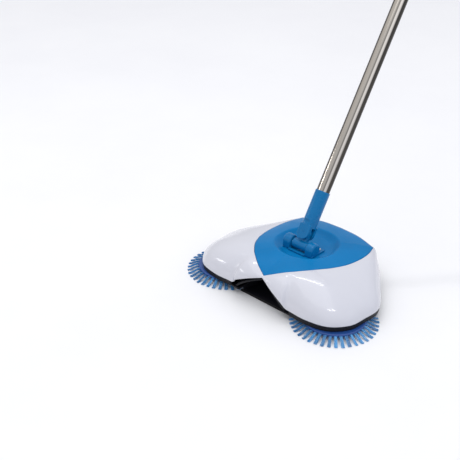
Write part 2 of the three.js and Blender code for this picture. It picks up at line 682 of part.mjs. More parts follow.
function rearRollerPin() {
  const { x, y, radius, half, pin, gap } = REAR_ROLLER;
  const reach = half + gap + ROLLER_LUG.thick;
  return rodX(pin, [x - reach, x + reach], y, radius, 10);
}

const hingeReach = DOOR.half + DOOR.gap + DOOR_LUG.thick;
const hingePin = rodX(DOOR.pin, [-hingeReach, hingeReach], DOOR.hingeY, DOOR.hingeZ, 10);
inHead('dust_bin', dustBin(), 'black');
inHead('bin_door', binDoor(), 'black');
inHead('bin_door_pin', hingePin, 'steel');
inHead('bin_latch', binLatch(), 'blue');
for (const [side, sign] of SIDES) {
  inHead(`rear_roller_${side}`, toSide(rearRoller(), sign), 'rubber');
  inHead(`rear_roller_pin_${side}`, toSide(rearRollerPin(), sign), 'steel');
}

// ---- universal joint ----
// Two bosses on feet in the panel's dish, joined by a bar in front.
function jointBase() {
  const { low, high, front, lip: lipFront, rear } = BASE;
  const { inner, outer, radius } = BOSS;
  const foot = block([inner, outer], [front, rear], [low, high]);
  const boss = rodX(radius, [inner, outer], PIVOT.y, PIVOT.z, 24);
  const web = block([inner, outer], [PIVOT.y - radius, PIVOT.y + radius], [low, PIVOT.z]);
  const aboveFoot = block([inner, outer], [0, BIN.rear], [low, PIVOT.z + radius]);
  const side = join(foot, boss, web).intersect(aboveFoot);
  const bar = block([-inner - 1, inner + 1], [lipFront, front + 1], [low, high]);
  const hole = rodZ(BASE_SCREW.hole, [0, PIVOT.z], BASE_SCREW.x, BASE_SCREW.y, 8);
  const pinBore = rodX(PIN_R + GAP, [-outer - 1, outer + 1], PIVOT.y, PIVOT.z, 16);
  return cut(join(side, mirrorX(side), bar), pinBore, hole, mirrorX(hole));
}

function jointCross() {
  const { barrel, half, tang, tangTop, thick, stemLow } = CROSS;
  const body = rodX(barrel, [-half, half], 0, 0, 20);
  const stem = block([-tang, tang], [-thick, thick], [stemLow, TILT_PIN_H]);
  const eye = rodY(tangTop, [-thick, thick], 0, TILT_PIN_H, 20);
  const pitchBore = rodX(PIN_R + GAP, [-half - 1, half + 1], 0, 0, 16);
  const tiltBore = rodY(PIN_R + GAP, [-barrel, barrel], 0, TILT_PIN_H, 16);
  return cut(join(body, stem, eye), pitchBore, tiltBore);
}

// Two ears on the tilt pin under a sleeve for the tube.
function handleSocket() {
  const { radius, inner, outer, shoulder } = EAR;
  const slotTop = TILT_PIN_H + shoulder;
  const ears = join(
    rodY(radius, [-outer, outer], 0, TILT_PIN_H, 24),
    block([-radius, radius], [-outer, outer], [TILT_PIN_H, slotTop + 1]));
  const neck = rodZ(SLEEVE.radius, [slotTop, SLEEVE.top], 0, 0, 24);
  const bore = rodZ(SLEEVE.bore, [SLEEVE.floor, SLEEVE.top + 1], 0, 0, 24);
  const slot = block([-PAST, PAST], [-inner, inner], [0, slotTop]);
  const tiltBore = rodY(PIN_R + GAP, [-outer - 1, outer + 1], 0, TILT_PIN_H, 16);
  return cut(join(ears, neck), slot, bore, tiltBore);
}

const baseScrewSpan = [BASE_SCREW.top, BASE.high + GAP, BASE_SCREW.low];
const baseScrew = screw(BASE_SCREW.x, BASE_SCREW.y, baseScrewSpan, BASE_SCREW.head, BASE_SCREW.shank);
inHead('joint_base', jointBase(), 'blue');
inHead('pitch_pin', rodX(PIN_R, [-BOSS.outer, BOSS.outer], PIVOT.y, PIVOT.z, 16), 'steel');
for (const [side, sign] of SIDES) inHead(`base_screw_${side}`, toSide(baseScrew, sign), 'steel');

onHandle('joint_cross', jointCross(), 'blue');
onHandle('tilt_pin', rodY(PIN_R, [-EAR.outer, EAR.outer], 0, TILT_PIN_H, 16), 'steel');
onHandle('handle_socket', handleSocket(), 'blue');

// ---- telescoping handle ----
// Bush over the lower tube's end: it guides the upper tube, and the twist collar turns on it.
function collarSeat() {
  const [inner, narrow] = [LOWER_TUBE.radius + GAP, UPPER_TUBE.radius + GAP];
  const { radius, step, top, skirt } = COLLAR_SEAT;
  const low = COLLAR.from - skirt;
  return turned([[inner, low], [radius, low], [radius, top], [narrow, top], [narrow, step], [inner, step]]);
}

function lockCollar() {
  const { radius, from, to, chamfer: [inset, drop], neck, shoulder } = COLLAR;
  const [wide, narrow] = [COLLAR_SEAT.radius + GAP, UPPER_TUBE.radius + GAP];
  const shell = turned([
    [wide, from], [radius, from], [radius, to - drop], [radius - inset, to],
    [narrow, to], [narrow, to - neck], [wide, to - shoulder],
  ]);
  const flute = rodZ(FLUTE.radius, [from - 1, to - FLUTE.end], radius + FLUTE.out, 0, 8);
  const flutes = Array.from({ length: FLUTE.count }, (_, i) => flute.rotate([0, 0, i * 360 / FLUTE.count]));
  return cut(shell, ...flutes);
}

// A plug in the upper tube's foot, with a flange that slides in the lower tube.
function tubePlug() {
  const { from } = UPPER_TUBE;
  const [flange, spigot] = [LOWER_TUBE.bore - GAP, UPPER_TUBE.bore - GAP];
  return turned([
    [0, from - PLUG.flange], [flange, from - PLUG.flange], [flange, from - GAP],
    [spigot, from - GAP], [spigot, from + PLUG.spigot], [0, from + PLUG.spigot],
  ]);
}

// A waisted grip, closed at the end by a flat tab with a hanging eye.
function grip() {
  const { radius, from, to } = GRIP;
  const bore = UPPER_TUBE.radius + GAP;
  const floor = UPPER_TUBE.to + GAP;
  const body = turned([
    [bore, from], [radius - 2, from], [radius - 1, from + 6], [radius - 2, from + 40], [radius, from + 75],
    [radius - 0.5, to - 10], [radius - 4, to], [0, to], [0, floor], [bore, floor],
  ]);
  const across = [-TAB.half, TAB.half];
  const eyeH = TAB.top - TAB.radius;
  const stem = block(across, [-TAB.radius, TAB.radius], [to - TAB.root, eyeH]);
  const whole = join(body, stem, rodX(TAB.radius, across, 0, eyeH, 20));
  return cut(whole, rodX(TAB.eye, [-TAB.half - 1, TAB.half + 1], 0, eyeH, 20));
}

const tubeRing = ({ bore, radius, from, to }) => ring(bore, radius, from, to);
onHandle('lower_tube', tubeRing(LOWER_TUBE), 'steel');
onHandle('collar_seat', collarSeat(), 'nylon');
onHandle('lock_collar', lockCollar(), 'blue');
onHandle('upper_tube', tubeRing(UPPER_TUBE), 'steel');
onHandle('tube_plug', tubePlug(), 'nylon');
onHandle('grip', grip(), 'blue');

export default sweeper;
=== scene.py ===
"""Looks for a hand-push spin sweeper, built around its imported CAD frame.

Outlines are in millimetres from the point on the floor midway between the side brushes.
HEAD carries them into the frame, and HANDLE carries heights along the leaning handle into it.
"""
import json
import math
import random

import bmesh
import bpy
from mathutils import Matrix, Vector


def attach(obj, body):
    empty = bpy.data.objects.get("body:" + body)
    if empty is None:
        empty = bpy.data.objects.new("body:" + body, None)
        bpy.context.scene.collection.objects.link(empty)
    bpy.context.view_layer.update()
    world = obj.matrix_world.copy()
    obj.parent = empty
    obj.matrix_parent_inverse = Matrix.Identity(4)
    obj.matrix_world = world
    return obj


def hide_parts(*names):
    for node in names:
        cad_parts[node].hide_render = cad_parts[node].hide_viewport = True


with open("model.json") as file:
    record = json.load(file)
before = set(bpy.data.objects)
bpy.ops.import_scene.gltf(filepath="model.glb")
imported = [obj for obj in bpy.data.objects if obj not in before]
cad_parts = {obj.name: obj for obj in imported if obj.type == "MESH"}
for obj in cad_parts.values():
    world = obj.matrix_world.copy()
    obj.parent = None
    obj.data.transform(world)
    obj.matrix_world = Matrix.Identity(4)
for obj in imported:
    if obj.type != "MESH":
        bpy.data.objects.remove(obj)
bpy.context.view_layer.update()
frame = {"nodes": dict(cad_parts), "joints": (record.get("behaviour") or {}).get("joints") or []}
random.seed(7)

MM = 0.001
PLAY = 0.3    # gap in mm round a pin, shaft or tube
SIDES = (("left", -1), ("right", 1))
JOINTS = {joint["name"]: joint for joint in frame["joints"]}


def joint_point(name):
    return Vector(JOINTS[name]["pos_m"])


def in_mm(origin):
    return Matrix.Translation(origin) @ Matrix.Scale(MM, 4)


BRUSH = joint_point("brush_right_spin")
BRUSH_X = BRUSH.x / MM
HEAD = in_mm((0, BRUSH.y, 0))
LEAN = JOINTS["handle_extend"]["axis"]
HANDLE = in_mm(joint_point("handle_pitch")) @ Matrix((
    (1, 0, 0, 0),
    (0, LEAN[2], LEAN[1], 0),
    (0, -LEAN[1], LEAN[2], 0),
    (0, 0, 0, 1)))
HANDLE_TURN = -math.atan2(LEAN[1], LEAN[2])


# ---------------------------------------------------------------- mesh tools
def add_mesh(name, bm, material, matrix=HEAD, smooth=40):
    """Puts a bmesh drawn in millimetres into the scene, shaded smooth below an angle in degrees."""
    bmesh.ops.remove_doubles(bm, verts=bm.verts, dist=1e-4)
    bmesh.ops.dissolve_degenerate(bm, edges=bm.edges, dist=1e-5)
    bmesh.ops.recalc_face_normals(bm, faces=bm.faces)
    mesh = bpy.data.meshes.new(name)
    bm.to_mesh(mesh)
    bm.free()
    mesh.transform(matrix)
    piece = bpy.data.objects.new(name, mesh)
    bpy.context.scene.collection.objects.link(piece)
    mesh.materials.append(material)
    shade(piece, smooth)
    return piece


def shade(piece, angle):
    piece.data.shade_smooth()
    piece.data.set_sharp_from_angle(angle=math.radians(angle))


def add_grid(bm, rows, wrap_rows=False, wrap_columns=False):
    """Faces over rows of points. Returns the vertices, row by row."""
    verts = [[bm.verts.new(p) for p in row] for row in rows]
    count, width = len(rows), len(rows[0])
    for i in range(count if wrap_rows else count - 1):
        for j in range(width if wrap_columns else width - 1):
            a, b = verts[i], verts[(i + 1) % count]
            k = (j + 1) % width
            bm.faces.new((a[j], b[j], b[k], a[k]))
    return verts


def turn(profile, segments=64, bm=None, axis="Z", at=(0, 0, 0)):
    """A closed solid of revolution from (radius, height) points that run round its section."""
    bm = bm or bmesh.new()
    swing = {"Z": Matrix.Identity(3), "X": Matrix.Rotation(math.pi / 2, 3, "Y"),
             "Y": Matrix.Rotation(-math.pi / 2, 3, "X")}[axis]
    rows = []
    for k in range(segments):
        a = 2 * math.pi * k / segments
        row = [Vector((r * math.cos(a), r * math.sin(a), h)) for r, h in profile]
        rows.append([swing @ p + Vector(at) for p in row])
    closed = profile[0][0] > 0 or profile[-1][0] > 0
    add_grid(bm, rows, wrap_rows=True, wrap_columns=closed)
    return bm


def rounded(points, radius, steps=3):
    """The closed outline `points`, (a, b) pairs, with its corners rounded off the axis."""
    out = []
    count = len(points)
    for i, p in enumerate(points):
        here, before, after = Vector(p), Vector(points[i - 1]), Vector(points[(i + 1) % count])
        reach = min(radius, (before - here).length / 2.2, (after - here).length / 2.2)
        if p[0] <= 0 or reach < 1e-3:
            out.append(tuple(here))
            continue
        start = here + (before - here).normalized() * reach
        end = here + (after - here).normalized() * reach
        for k in range(steps + 1):
            t = k / steps
            q = start.lerp(here, t).lerp(here.lerp(end, t), t)
            out.append(tuple(q))
    return out


def add_box(bm, low, high, matrix=None):
    low, high = Vector(low), Vector(high)
    made = bmesh.ops.create_cube(bm, size=1.0)["verts"]
    size = Matrix.Diagonal(high - low).to_4x4()
    bmesh.ops.transform(bm, matrix=Matrix.Translation((low + high) / 2) @ size, verts=made)
    if matrix:
        bmesh.ops.transform(bm, matrix=matrix, verts=made)


def evaluated(piece):
    """Replaces a piece's mesh by what its modifiers make of it."""
    graph = bpy.context.evaluated_depsgraph_get()
    mesh = bpy.data.meshes.new_from_object(piece.evaluated_get(graph))
    piece.modifiers.clear()
    piece.data = mesh
    return piece


def fuse(piece, voxel, relax=6):
    """Melts overlapping solids into one moulded body with soft inner corners."""
    remesh = piece.modifiers.new("melt", "REMESH")
    remesh.mode = "VOXEL"
    remesh.voxel_size = voxel * MM
    relaxing = piece.modifiers.new("relax", "SMOOTH")
    relaxing.factor = 0.5
    relaxing.iterations = relax
    evaluated(piece)
    shade(piece, 60)
    return piece


def carve(piece, cutter, overlapping=False):
    """Cuts one piece by another, which is used up and may be made of overlapping parts."""
    boolean = piece.modifiers.new("carve", "BOOLEAN")
    boolean.object = cutter
    boolean.solver = "EXACT"
    boolean.use_self = overlapping
    evaluated(piece)
    bpy.data.objects.remove(cutter)
    return piece


def bevel(piece, width, segments=3, angle=35):
    edge = piece.modifiers.new("edge", "BEVEL")
    edge.width = width * MM
    edge.segments = segments
    edge.limit_method = "ANGLE"
    edge.angle_limit = math.radians(angle)
    edge.harden_normals = True
    return piece


# ---------------------------------------------------------------- materials
MIX_A, MIX_B, MIX_RESULT = 6, 7, 2    # the colour sockets of a Mix node


def start(name, colour, roughness, metallic=0.0):
    material = bpy.data.materials.new(name)
    material.use_nodes = True
    nodes = material.node_tree.nodes
    shader = nodes["Principled BSDF"]
    shader.inputs["Base Color"].default_value = (*colour, 1)
    shader.inputs["Roughness"].default_value = roughness
    shader.inputs["Metallic"].default_value = metallic
    return material, shader


def node(material, kind, **values):
    made = material.node_tree.nodes.new(kind)
    for key, value in values.items():
        if key in made.inputs:
            made.inputs[key].default_value = value
        else:
            setattr(made, key, value)
    return made


def link(material, source, target):
    material.node_tree.links.new(source, target)


def object_space(material, per_metre, turned):
    place = node(material, "ShaderNodeTexCoord")
    mapping = node(material, "ShaderNodeMapping", vector_type="TEXTURE")
    mapping.inputs["Rotation"].default_value = (turned, 0, 0)
    mapping.inputs["Scale"].default_value = [1 / count for count in per_metre]
    link(material, place.outputs["Object"], mapping.inputs["Vector"])
    return mapping.outputs["Vector"]


def grain(material, per_metre, detail, turned=0.0):
    """Noise with so many features to the metre, or one count for each axis."""
    counts = per_metre if isinstance(per_metre, tuple) else (per_metre,) * 3
    texture = node(material, "ShaderNodeTexNoise", Scale=1.0, Detail=detail, Roughness=0.6)
    link(material, object_space(material, counts, turned), texture.inputs["Vector"])
    return texture.outputs["Fac"]


def ramp(material, source, stops):
    made = node(material, "ShaderNodeValToRGB")
    elements = made.color_ramp.elements
    while len(elements) < len(stops):
        elements.new(0.5)
    for element, (at, value) in zip(elements, stops):
        element.position = at
        colour = value if isinstance(value, tuple) else (value, value, value)
        element.color = (*colour, 1)
    link(material, source, made.inputs["Fac"])
    return made.outputs["Color"]


def bumps(material, shader, source, distance, strength, over=None):
    bump = node(material, "ShaderNodeBump", Strength=strength, Distance=distance * MM)
    link(material, source, bump.inputs["Height"])
    if over:
        link(material, over, bump.inputs["Normal"])
    link(material, bump.outputs["Normal"], shader.inputs["Normal"])
    return bump.outputs["Normal"]


def vary(material, shader, source, low, high):
    link(material, ramp(material, source, [(0.35, low), (0.65, high)]), shader.inputs["Base Color"])


def roughen(material, shader, source, low, high):
    link(material, ramp(material, source, [(0.3, low), (0.7, high)]), shader.inputs["Roughness"])


def tint(colour, amount):
    return tuple(min(1.0, c * amount) for c in colour)


def moulded(name, colour, rough, spread, coat=0.0, texture=0.0, texel=0.35, swirl=0.03, shine=0.5):
    """Moulded plastic: slow shade drift, handling marks in the gloss, and a fine mould texture whose
    depth and grain size are in millimetres."""
    material, shader = start(name, colour, rough)
    shader.inputs["Coat Weight"].default_value = coat
    shader.inputs["Specular IOR Level"].default_value = shine
    shader.inputs["Coat Roughness"].default_value = 0.06
    shader.inputs["IOR"].default_value = 1.5
    vary(material, shader, grain(material, 14, 4), tint(colour, 1 - swirl), tint(colour, 1 + swirl))
    roughen(material, shader, grain(material, 60, 5), rough - spread, rough + spread)
    wave = bumps(material, shader, grain(material, 55, 2), 0.05, 0.25)
    if texture:
        bumps(material, shader, grain(material, 1 / (texel * MM), 2), texture, 0.5, over=wave)
    return material


def worn(material, shader, lines, rough):
    """Lets the same fine marks dull and dent a metal."""
    roughen(material, shader, lines, rough * 0.75, rough * 1.35)
    bumps(material, shader, lines, 0.01, 0.35)
    return material


def steel(name, colour, rough, per_metre):
    """Bright steel with small clouds of tone and light scuffs."""
    material, shader = start(name, colour, rough, 1.0)
    marks = grain(material, per_metre, 4)
    vary(material, shader, marks, tint(colour, 0.8), tint(colour, 1.15))
    return worn(material, shader, marks, rough)


def reflection_banded_steel(name, colour, rough, reflection_bands):
    """Polished tube: painted reflections as long light and dark bands round its axis, under fine drawing
    lines.
    """
    material, shader = start(name, colour, rough, 1.0)
    place = node(material, "ShaderNodeTexCoord")
    mapping = node(material, "ShaderNodeMapping", vector_type="TEXTURE")
    mapping.inputs["Location"].default_value = joint_point("handle_pitch")
    mapping.inputs["Rotation"].default_value = (HANDLE_TURN, 0, 0)
    around = node(material, "ShaderNodeTexGradient", gradient_type="RADIAL")
    link(material, place.outputs["Object"], mapping.inputs["Vector"])
    link(material, mapping.outputs["Vector"], around.inputs["Vector"])
    lines = grain(material, (1800, 1800, 14), 4, HANDLE_TURN)
    blend = node(material, "ShaderNodeMix", data_type="RGBA", blend_type="MULTIPLY", Factor=1.0)
    # painted reflections: light and dark tones fixed round the tube's axis
    painted_reflections = [(at, tint(colour, level)) for at, level in reflection_bands]
    link(material, ramp(material, around.outputs["Fac"], painted_reflections), blend.inputs[MIX_A])
    link(material, ramp(material, lines, [(0.3, 0.86), (0.7, 1.0)]), blend.inputs[MIX_B])
    link(material, blend.outputs[MIX_RESULT], shader.inputs["Base Color"])
    return worn(material, shader, lines, rough)


def filament(name, root, tip):
    """Nylon bristle: shade differs from strand to strand, with a slight sheen."""
    material, shader = start(name, tip, 0.42)
    shader.inputs["Sheen Weight"].default_value = 0.25
    shader.inputs["Sheen Roughness"].default_value = 0.4
    strand = node(material, "ShaderNodeAttribute", attribute_name="strand")
    tones = ramp(material, strand.outputs["Fac"], [(0.0, root), (0.55, tip), (1.0, tint(tip, 1.35))])
    link(material, tones, shader.inputs["Base Color"])
    roughen(material, shader, grain(material, 900, 2), 0.3, 0.55)
    return material


WHITE = (0.61, 0.615, 0.665)
BLUE = (0.002, 0.17, 0.42)
NAVY = (0.016, 0.07, 0.27)
BLACK = (0.0075, 0.0075, 0.0105)
STEEL = (0.60, 0.555, 0.49)
# Painted reflection bands once round the tube: share of a turn, tone
TUBE_REFLECTION_BANDS = ((0.0, 0.7), (0.06, 0.25), (0.17, 0.08), (0.21, 0.95), (0.31, 0.8), (0.34, 0.3),
              (0.365, 1.5), (0.4, 1.4), (0.425, 0.15), (0.56, 0.05), (0.62, 0.7), (0.8, 1.1))

mat_white = moulded("gloss_white_abs", WHITE, 0.16, 0.04, coat=0.5, swirl=0.012)
mat_blue = moulded("satin_blue_abs", BLUE, 0.36, 0.06, texture=0.012, swirl=0.05, shine=0.1)
mat_joint = moulded(
    "joint_blue", tint(BLUE, 0.86), 0.28, 0.07, coat=0.06, texture=0.01, swirl=0.06, shine=0.2)
mat_navy = moulded("navy_plate", NAVY, 0.4, 0.08, texture=0.02, swirl=0.1)
mat_black = moulded("black_abs", BLACK, 0.42, 0.09, texture=0.03, texel=0.5, swirl=0.15, shine=0.2)
mat_ramp = moulded("ramp_black", BLACK, 0.5, 0.06, swirl=0.15, shine=0.07)
mat_nylon = moulded("nylon_gear", (0.62, 0.62, 0.57), 0.5, 0.08, texture=0.01)
mat_rubber = moulded("black_rubber", (0.012, 0.012, 0.013), 0.75, 0.1, texture=0.06, texel=0.8, swirl=0.2)
mat_grip = moulded("grip_blue", tint(BLUE, 0.95), 0.45, 0.06, texture=0.05, texel=0.7)
# the tube's light and dark bands are painted reflections
mat_tube = reflection_banded_steel("stainless_tube", STEEL, 0.14, TUBE_REFLECTION_BANDS)
mat_steel = steel("bright_steel", (0.56, 0.57, 0.58), 0.28, 400)
mat_bristle = filament("blue_bristle", (0.015, 0.085, 0.27), (0.07, 0.30, 0.60))


# ---------------------------------------------------------------- outline of the head
# Right half, front to rear: a point on the blue panel's edge, then the one below it on the rim.
RIM_Z = 17
ARCH = [
    ((0, -33, 44.6), (0, -36.4, 42.3)),
    ((14.8, -26.9, 51.1), (20.9, -43.4, 35.5)),
    ((28, -18.6, 55.6), (42, -46.1, 25.2)),
    ((36.5, -12, 57.3), (51.5, -43.5, RIM_Z)),
]
FLANK = [
    ARCH[3],
    ((41.7, -6.9, 58.1), (82, -44.3, RIM_Z)),
    ((51.5, 5.2, 58.5), (114, -36.5, RIM_Z)),
    ((59, 18.7, 57.2), (134, -14, RIM_Z)),
    ((65, 32.4, 55.3), (138.2, 12, RIM_Z)),
    ((71.6, 58.2, 51.7), (138, 45, RIM_Z)),
    ((73.5, 86.2, 49.1), (114.5, 82, RIM_Z)),
    ((71.3, 108.7, 47.7), (91.5, 112, RIM_Z)),
    ((65.3, 128.6, 47), (71, 134, RIM_Z)),
]
REAR = [
    FLANK[8],
    ((33, 135.5, 50), (37, 142, RIM_Z)),
    ((0, 137, 51), (0, 143.5, RIM_Z)),
]
STEPS = 8
SWELL = {"out": 1.7, "down": 0.58}
COVER_WALL = 2.8
PANEL_WALL = 2.5
PANEL_TOP = Vector((0, 50, 61))
DISH = {"y": 60, "low": 51.5, "radius": 36.5, "slope": 0.75}


def spline(knots, steps):
    """Points of a Catmull-Rom curve through the knots."""
    knots = [Vector(k) for k in knots]
    ends = [2 * knots[0] - knots[1], *knots, 2 * knots[-1] - knots[-2]]
    points = []
    for before, a, b, after in zip(ends, ends[1:], ends[2:], ends[3:]):
        u, v = (b - before) / 2, (after - a) / 2
        for k in range(steps):
            t = k / steps
            points.append(a + t * (u + t * (3 * (b - a) - 2 * u - v + t * (2 * (a - b) + u + v))))
    return points + [knots[-1]]


def outline(edge):
    """One edge of the white cover all the way round, from the middle of the arch."""
    half = []
    for knots in ([*ARCH, *FLANK[1:]], REAR):
        half += spline([pair[edge] for pair in knots], STEPS)[:-1]
    for p in half:
        p.z = max(p.z, RIM_Z)
    rear = Vector(REAR[-1][edge])
    return [*half, rear, *[Vector((-p.x, p.y, p.z)) for p in reversed(half[1:])]]


EDGES = list(zip(outline(0), outline(1)))    # round the cover: points of the panel's edge and the rim
SKIN_STEPS = 24
WALL_POINTS = 22
CORNER_STEPS = 4


def inward(top, rim):
    level = top - rim
    level.z = 0
    return level.normalized()


def skin(top, rim, inset):
    """The swelling curve from the panel's edge down to the rim, that far inside the surface."""
    top = top - Vector((0, 0, inset))
    rim = rim + inward(top, rim) * inset
    points = []
    for k in range(SKIN_STEPS + 1):
        reach = math.sin(math.pi / 2 * k / SKIN_STEPS)
        p = top.lerp(rim, reach)
        p.z = rim.z + (top.z - rim.z) * (1 - reach ** SWELL["out"]) ** SWELL["down"]
        points.append(p)
    return points


def resample(path, skip, count):
    """Evenly spaced points of a path, leaving out a length at both ends."""
    lengths = [0]
    for a, b in zip(path, path[1:]):
        lengths.append(lengths[-1] + (b - a).length)
    points, i = [], 0
    for k in range(count):
        at = skip + (lengths[-1] - 2 * skip) * k / (count - 1)
        while i < len(path) - 2 and lengths[i + 1] < at:
            i += 1
        points.append(path[i].lerp(path[i + 1], (at - lengths[i]) / (lengths[i + 1] - lengths[i])))
    return points


def corner(start, middle, end):
    """Points of a rounded corner, without its two ends."""
    parts = [k / CORNER_STEPS for k in range(1, CORNER_STEPS)]
    return [start.lerp(middle, t).lerp(middle.lerp(end, t), t) for t in parts]


def wall_section(outer, inner, radius):
    """The closed section of a wall between two paths, its four edges rounded."""
    out, back = (resample(path, radius, WALL_POINTS) for path in (outer, inner))
    back.reverse()
    section = []
    for run, tip, foot in ((out, outer[-1], inner[-1]), (back, inner[0], outer[0])):
        step = (foot - tip).normalized() * radius
        after = back[0] if run is out else out[0]
        section += run + corner(run[-1], tip, tip + step) + [tip + step, foot - step]
        section += corner(foot - step, foot, after)
    return section


def top_cover():
    bm = bmesh.new()
    walls = [(skin(top, rim, 0), skin(top, rim, COVER_WALL)) for top, rim in EDGES]
    rows = [wall_section(outer, inner, 0.7) for outer, inner in walls]
    add_grid(bm, rows, wrap_rows=True, wrap_columns=True)
    return add_mesh("cover_shell", bm, mat_white, smooth=50)


def soft_min(a, b, blend):
    h = max(blend - abs(a - b), 0) / blend
    return min(a, b) - h * h * blend / 4


def soft_max(a, b, blend):
    return -soft_min(-a, -b, blend)


def dish_height(x, y):
    reach = math.hypot(x, y - DISH["y"]) - DISH["radius"]
    return DISH["low"] + DISH["slope"] * soft_max(reach, 0, 2.0)


def panel_point(edge, reach):
    """A point of the dome on the way from its middle to a point of its edge, and the dish there."""
    p = PANEL_TOP.lerp(edge, reach)
    p.z = PANEL_TOP.z + (edge.z - PANEL_TOP.z) * reach ** 2.5
    return p, dish_height(p.x, p.y)


def dish_edge(edge):
    """How far towards the panel's edge the dome meets the dish."""
    low, high = 0.2, 1.0
    for _ in range(24):
        middle = (low + high) / 2
        p, dish = panel_point(edge, middle)
        low, high = (middle, high) if dish < p.z else (low, middle)
    return low


def panel_path(edge):
    """The panel's upper surface from the middle to its edge, close-set where the dish begins."""
    meet = dish_edge(edge)
    span = (edge - PANEL_TOP).length
    reaches = [meet * 0.95 * k / 16 for k in range(16)]
    reaches += [meet + offset / span for offset in (-2.0, -1.4, -0.9, -0.45, 0, 0.45, 0.9, 1.4, 2.0)]
    tail = reaches[-1]
    reaches += [tail + (1 - tail) * k / 9 for k in range(1, 10)]
    points = []
    for reach in sorted(reaches):
        p, dish = panel_point(edge, reach)
        p.z = soft_min(p.z, dish, 1.6)
        points.append(p)
    return points


def top_panel():
    bm = bmesh.new()
    rows = []
    for top, rim in EDGES:
        edge = top + inward(top, rim) * 0.35
        path = panel_path(edge)
        end, below = path[-1], path[-1] - Vector((0, 0, PANEL_WALL))
        lead = end + (path[-2] - end).normalized() * 0.6
        turn_in = corner(lead, end, end.lerp(below, 0.3)) + [end.lerp(below, 0.3), below]
        under = [p - Vector((0, 0, PANEL_WALL)) for p in reversed(path[:-1])]
        rows.append([*path[:-1], lead, *turn_in, *under])
    add_grid(bm, rows, wrap_rows=True)
    return add_mesh("blue_panel", bm, mat_blue, smooth=50)


def outline_ring(bm, inset, thick, low, high, keep):
    """An upright wall with soft edges that follows the rim where `keep` says so of a point."""
    places = [(rim + inward(top, rim) * inset, inward(top, rim)) for top, rim in EDGES]
    soft = thick * 0.3
    for chain in chains(places, keep):
        rows = []
        for p, way in chain:
            a, b = p, p + way * thick
            rows.append([Vector((q.x, q.y, z)) for q, z in (
                (a, low + soft), (a + way * soft, low), (b - way * soft, low), (b, low + soft),
                (b, high - soft), (b - way * soft, high), (a + way * soft, high), (a, high - soft))])
        verts = add_grid(bm, rows, wrap_columns=True)
        bm.faces.new(verts[0])
        bm.faces.new(verts[-1])


def chains(items, keep):
    """Runs of neighbouring items that are kept. The first and last items aren't neighbours."""
    run, runs = [], []
    for item in items:
        if keep(item[0]):
            run.append(item)
        elif run:
            runs.append(run)
            run = []
    return runs + ([run] if run else [])


# ---------------------------------------------------------------- side brushes
HUB_R = 43.5
BRISTLE_TIP = 61
TUFTS = 40


def sided(name, sign):
    return f"{name}_{'right' if sign > 0 else 'left'}"


def share(value):
    """The value kept between 0 and 1."""
    return min(1, max(0, value))


def smooth_step(low, high, value):
    t = share((value - low) / (high - low))
    return t * t * (3 - 2 * t)


def add_filament(bm, shade_layer, path, radius, tone):
    """A thin three-sided strand along a path, finer at its tip."""
    rings = []
    for i, p in enumerate(path):
        way = (path[min(i + 1, len(path) - 1)] - path[max(i - 1, 0)]).normalized()
        side = way.cross(Vector((0.3, 0.2, 1))).normalized()
        other = way.cross(side)
        thin = radius * (1 - 0.35 * i / (len(path) - 1))
        ring = []
        for k in range(3):
            angle = 2 * math.pi * k / 3
            vert = bm.verts.new(p + thin * (math.cos(angle) * side + math.sin(angle) * other))
            vert[shade_layer] = tone
            ring.append(vert)
        rings.append(ring)
    for a, b in zip(rings, rings[1:]):
        for k in range(3):
            m = (k + 1) % 3
            bm.faces.new((a[k], a[m], b[m], b[k]))
    bm.faces.new(rings[-1])


TUFT = {"strands": 36, "half": 1.8, "thick": 1.1, "z": 6.1, "root": HUB_R - 0.8, "strand_r": 0.21}


def side_tufts(sign):
    """Flat bundles of bristle that leave the hub level and sweep down to the floor."""
    bm = bmesh.new()
    layer = bm.verts.layers.float.new("strand")
    centre = Vector((sign * BRUSH_X, 0, 0))
    for tuft in range(TUFTS):
        angle = 2 * math.pi * (tuft + 0.5) / TUFTS
        out = Vector((math.cos(angle), math.sin(angle), 0))
        across = Vector((-out.y, out.x, 0))
        tuft_tone = random.uniform(0.3, 0.75)
        length = BRISTLE_TIP - random.uniform(0.1, 0.9)
        for _ in range(TUFT["strands"]):
            u, v = random.uniform(-1, 1), random.uniform(-1, 1)
            spread = TUFT["half"] * u
            fan = spread * 1.3 + random.gauss(0, 0.12)
            reach = length - 0.5 * u * u - abs(random.gauss(0, 0.35))
            low = random.uniform(0.2, 1.1)
            path = []
            for k in range(6):
                t = k / 5
                r = TUFT["root"] + (reach - TUFT["root"]) * t
                drop = smooth_step(0, 1, t)
                z = (TUFT["z"] + TUFT["thick"] * v) * (1 - drop) + low * drop
                aside = across * (spread + (fan - spread) * t)
                path.append(centre + out * r + aside + Vector((0, 0, z)))
            tone = share(tuft_tone + random.gauss(0, 0.14))
            add_filament(bm, layer, path, TUFT["strand_r"], tone)
    return add_mesh(sided("tufts", sign), bm, mat_bristle)


def brush_hub(sign):
    """Disc with a stepped rim, sockets for the tufts and a boss for the gear above it."""
    below = [(1.9, 4.9), (4.2, 4.9), (4.2, 3.5), (8.5, 3.5), (9.5, 4.4), (33, 4.4), (34, 3.5), (38, 3.5)]
    edge = [(HUB_R, 4.6), (HUB_R, 8), (42.3, 8.7), (40, 8.9)]
    boss = [(9, 8.9), (9, 11.5), (1.9, 11.5)]
    bm = turn(rounded(below + edge + boss, 0.5), 96)
    for k in range(8):
        matrix = Matrix.Rotation(2 * math.pi * k / 8, 4, "Z")
        add_box(bm, (10, -0.7, 3.5), (33.6, 0.7, 4.5), matrix)
    for k in range(TUFTS):
        matrix = Matrix.Rotation(2 * math.pi * (k + 0.5) / TUFTS, 4, "Z")
        for low, high in ((-3.1, -2.75), (2.75, 3.1)):
            add_box(bm, (HUB_R - 2.2, low, 4.9), (HUB_R + 0.2, high, 7.6), matrix)
    bmesh.ops.translate(bm, verts=bm.verts, vec=(sign * BRUSH_X, 0, 0))
    return add_mesh(sided("brush_disc", sign), bm, mat_navy, smooth=35)


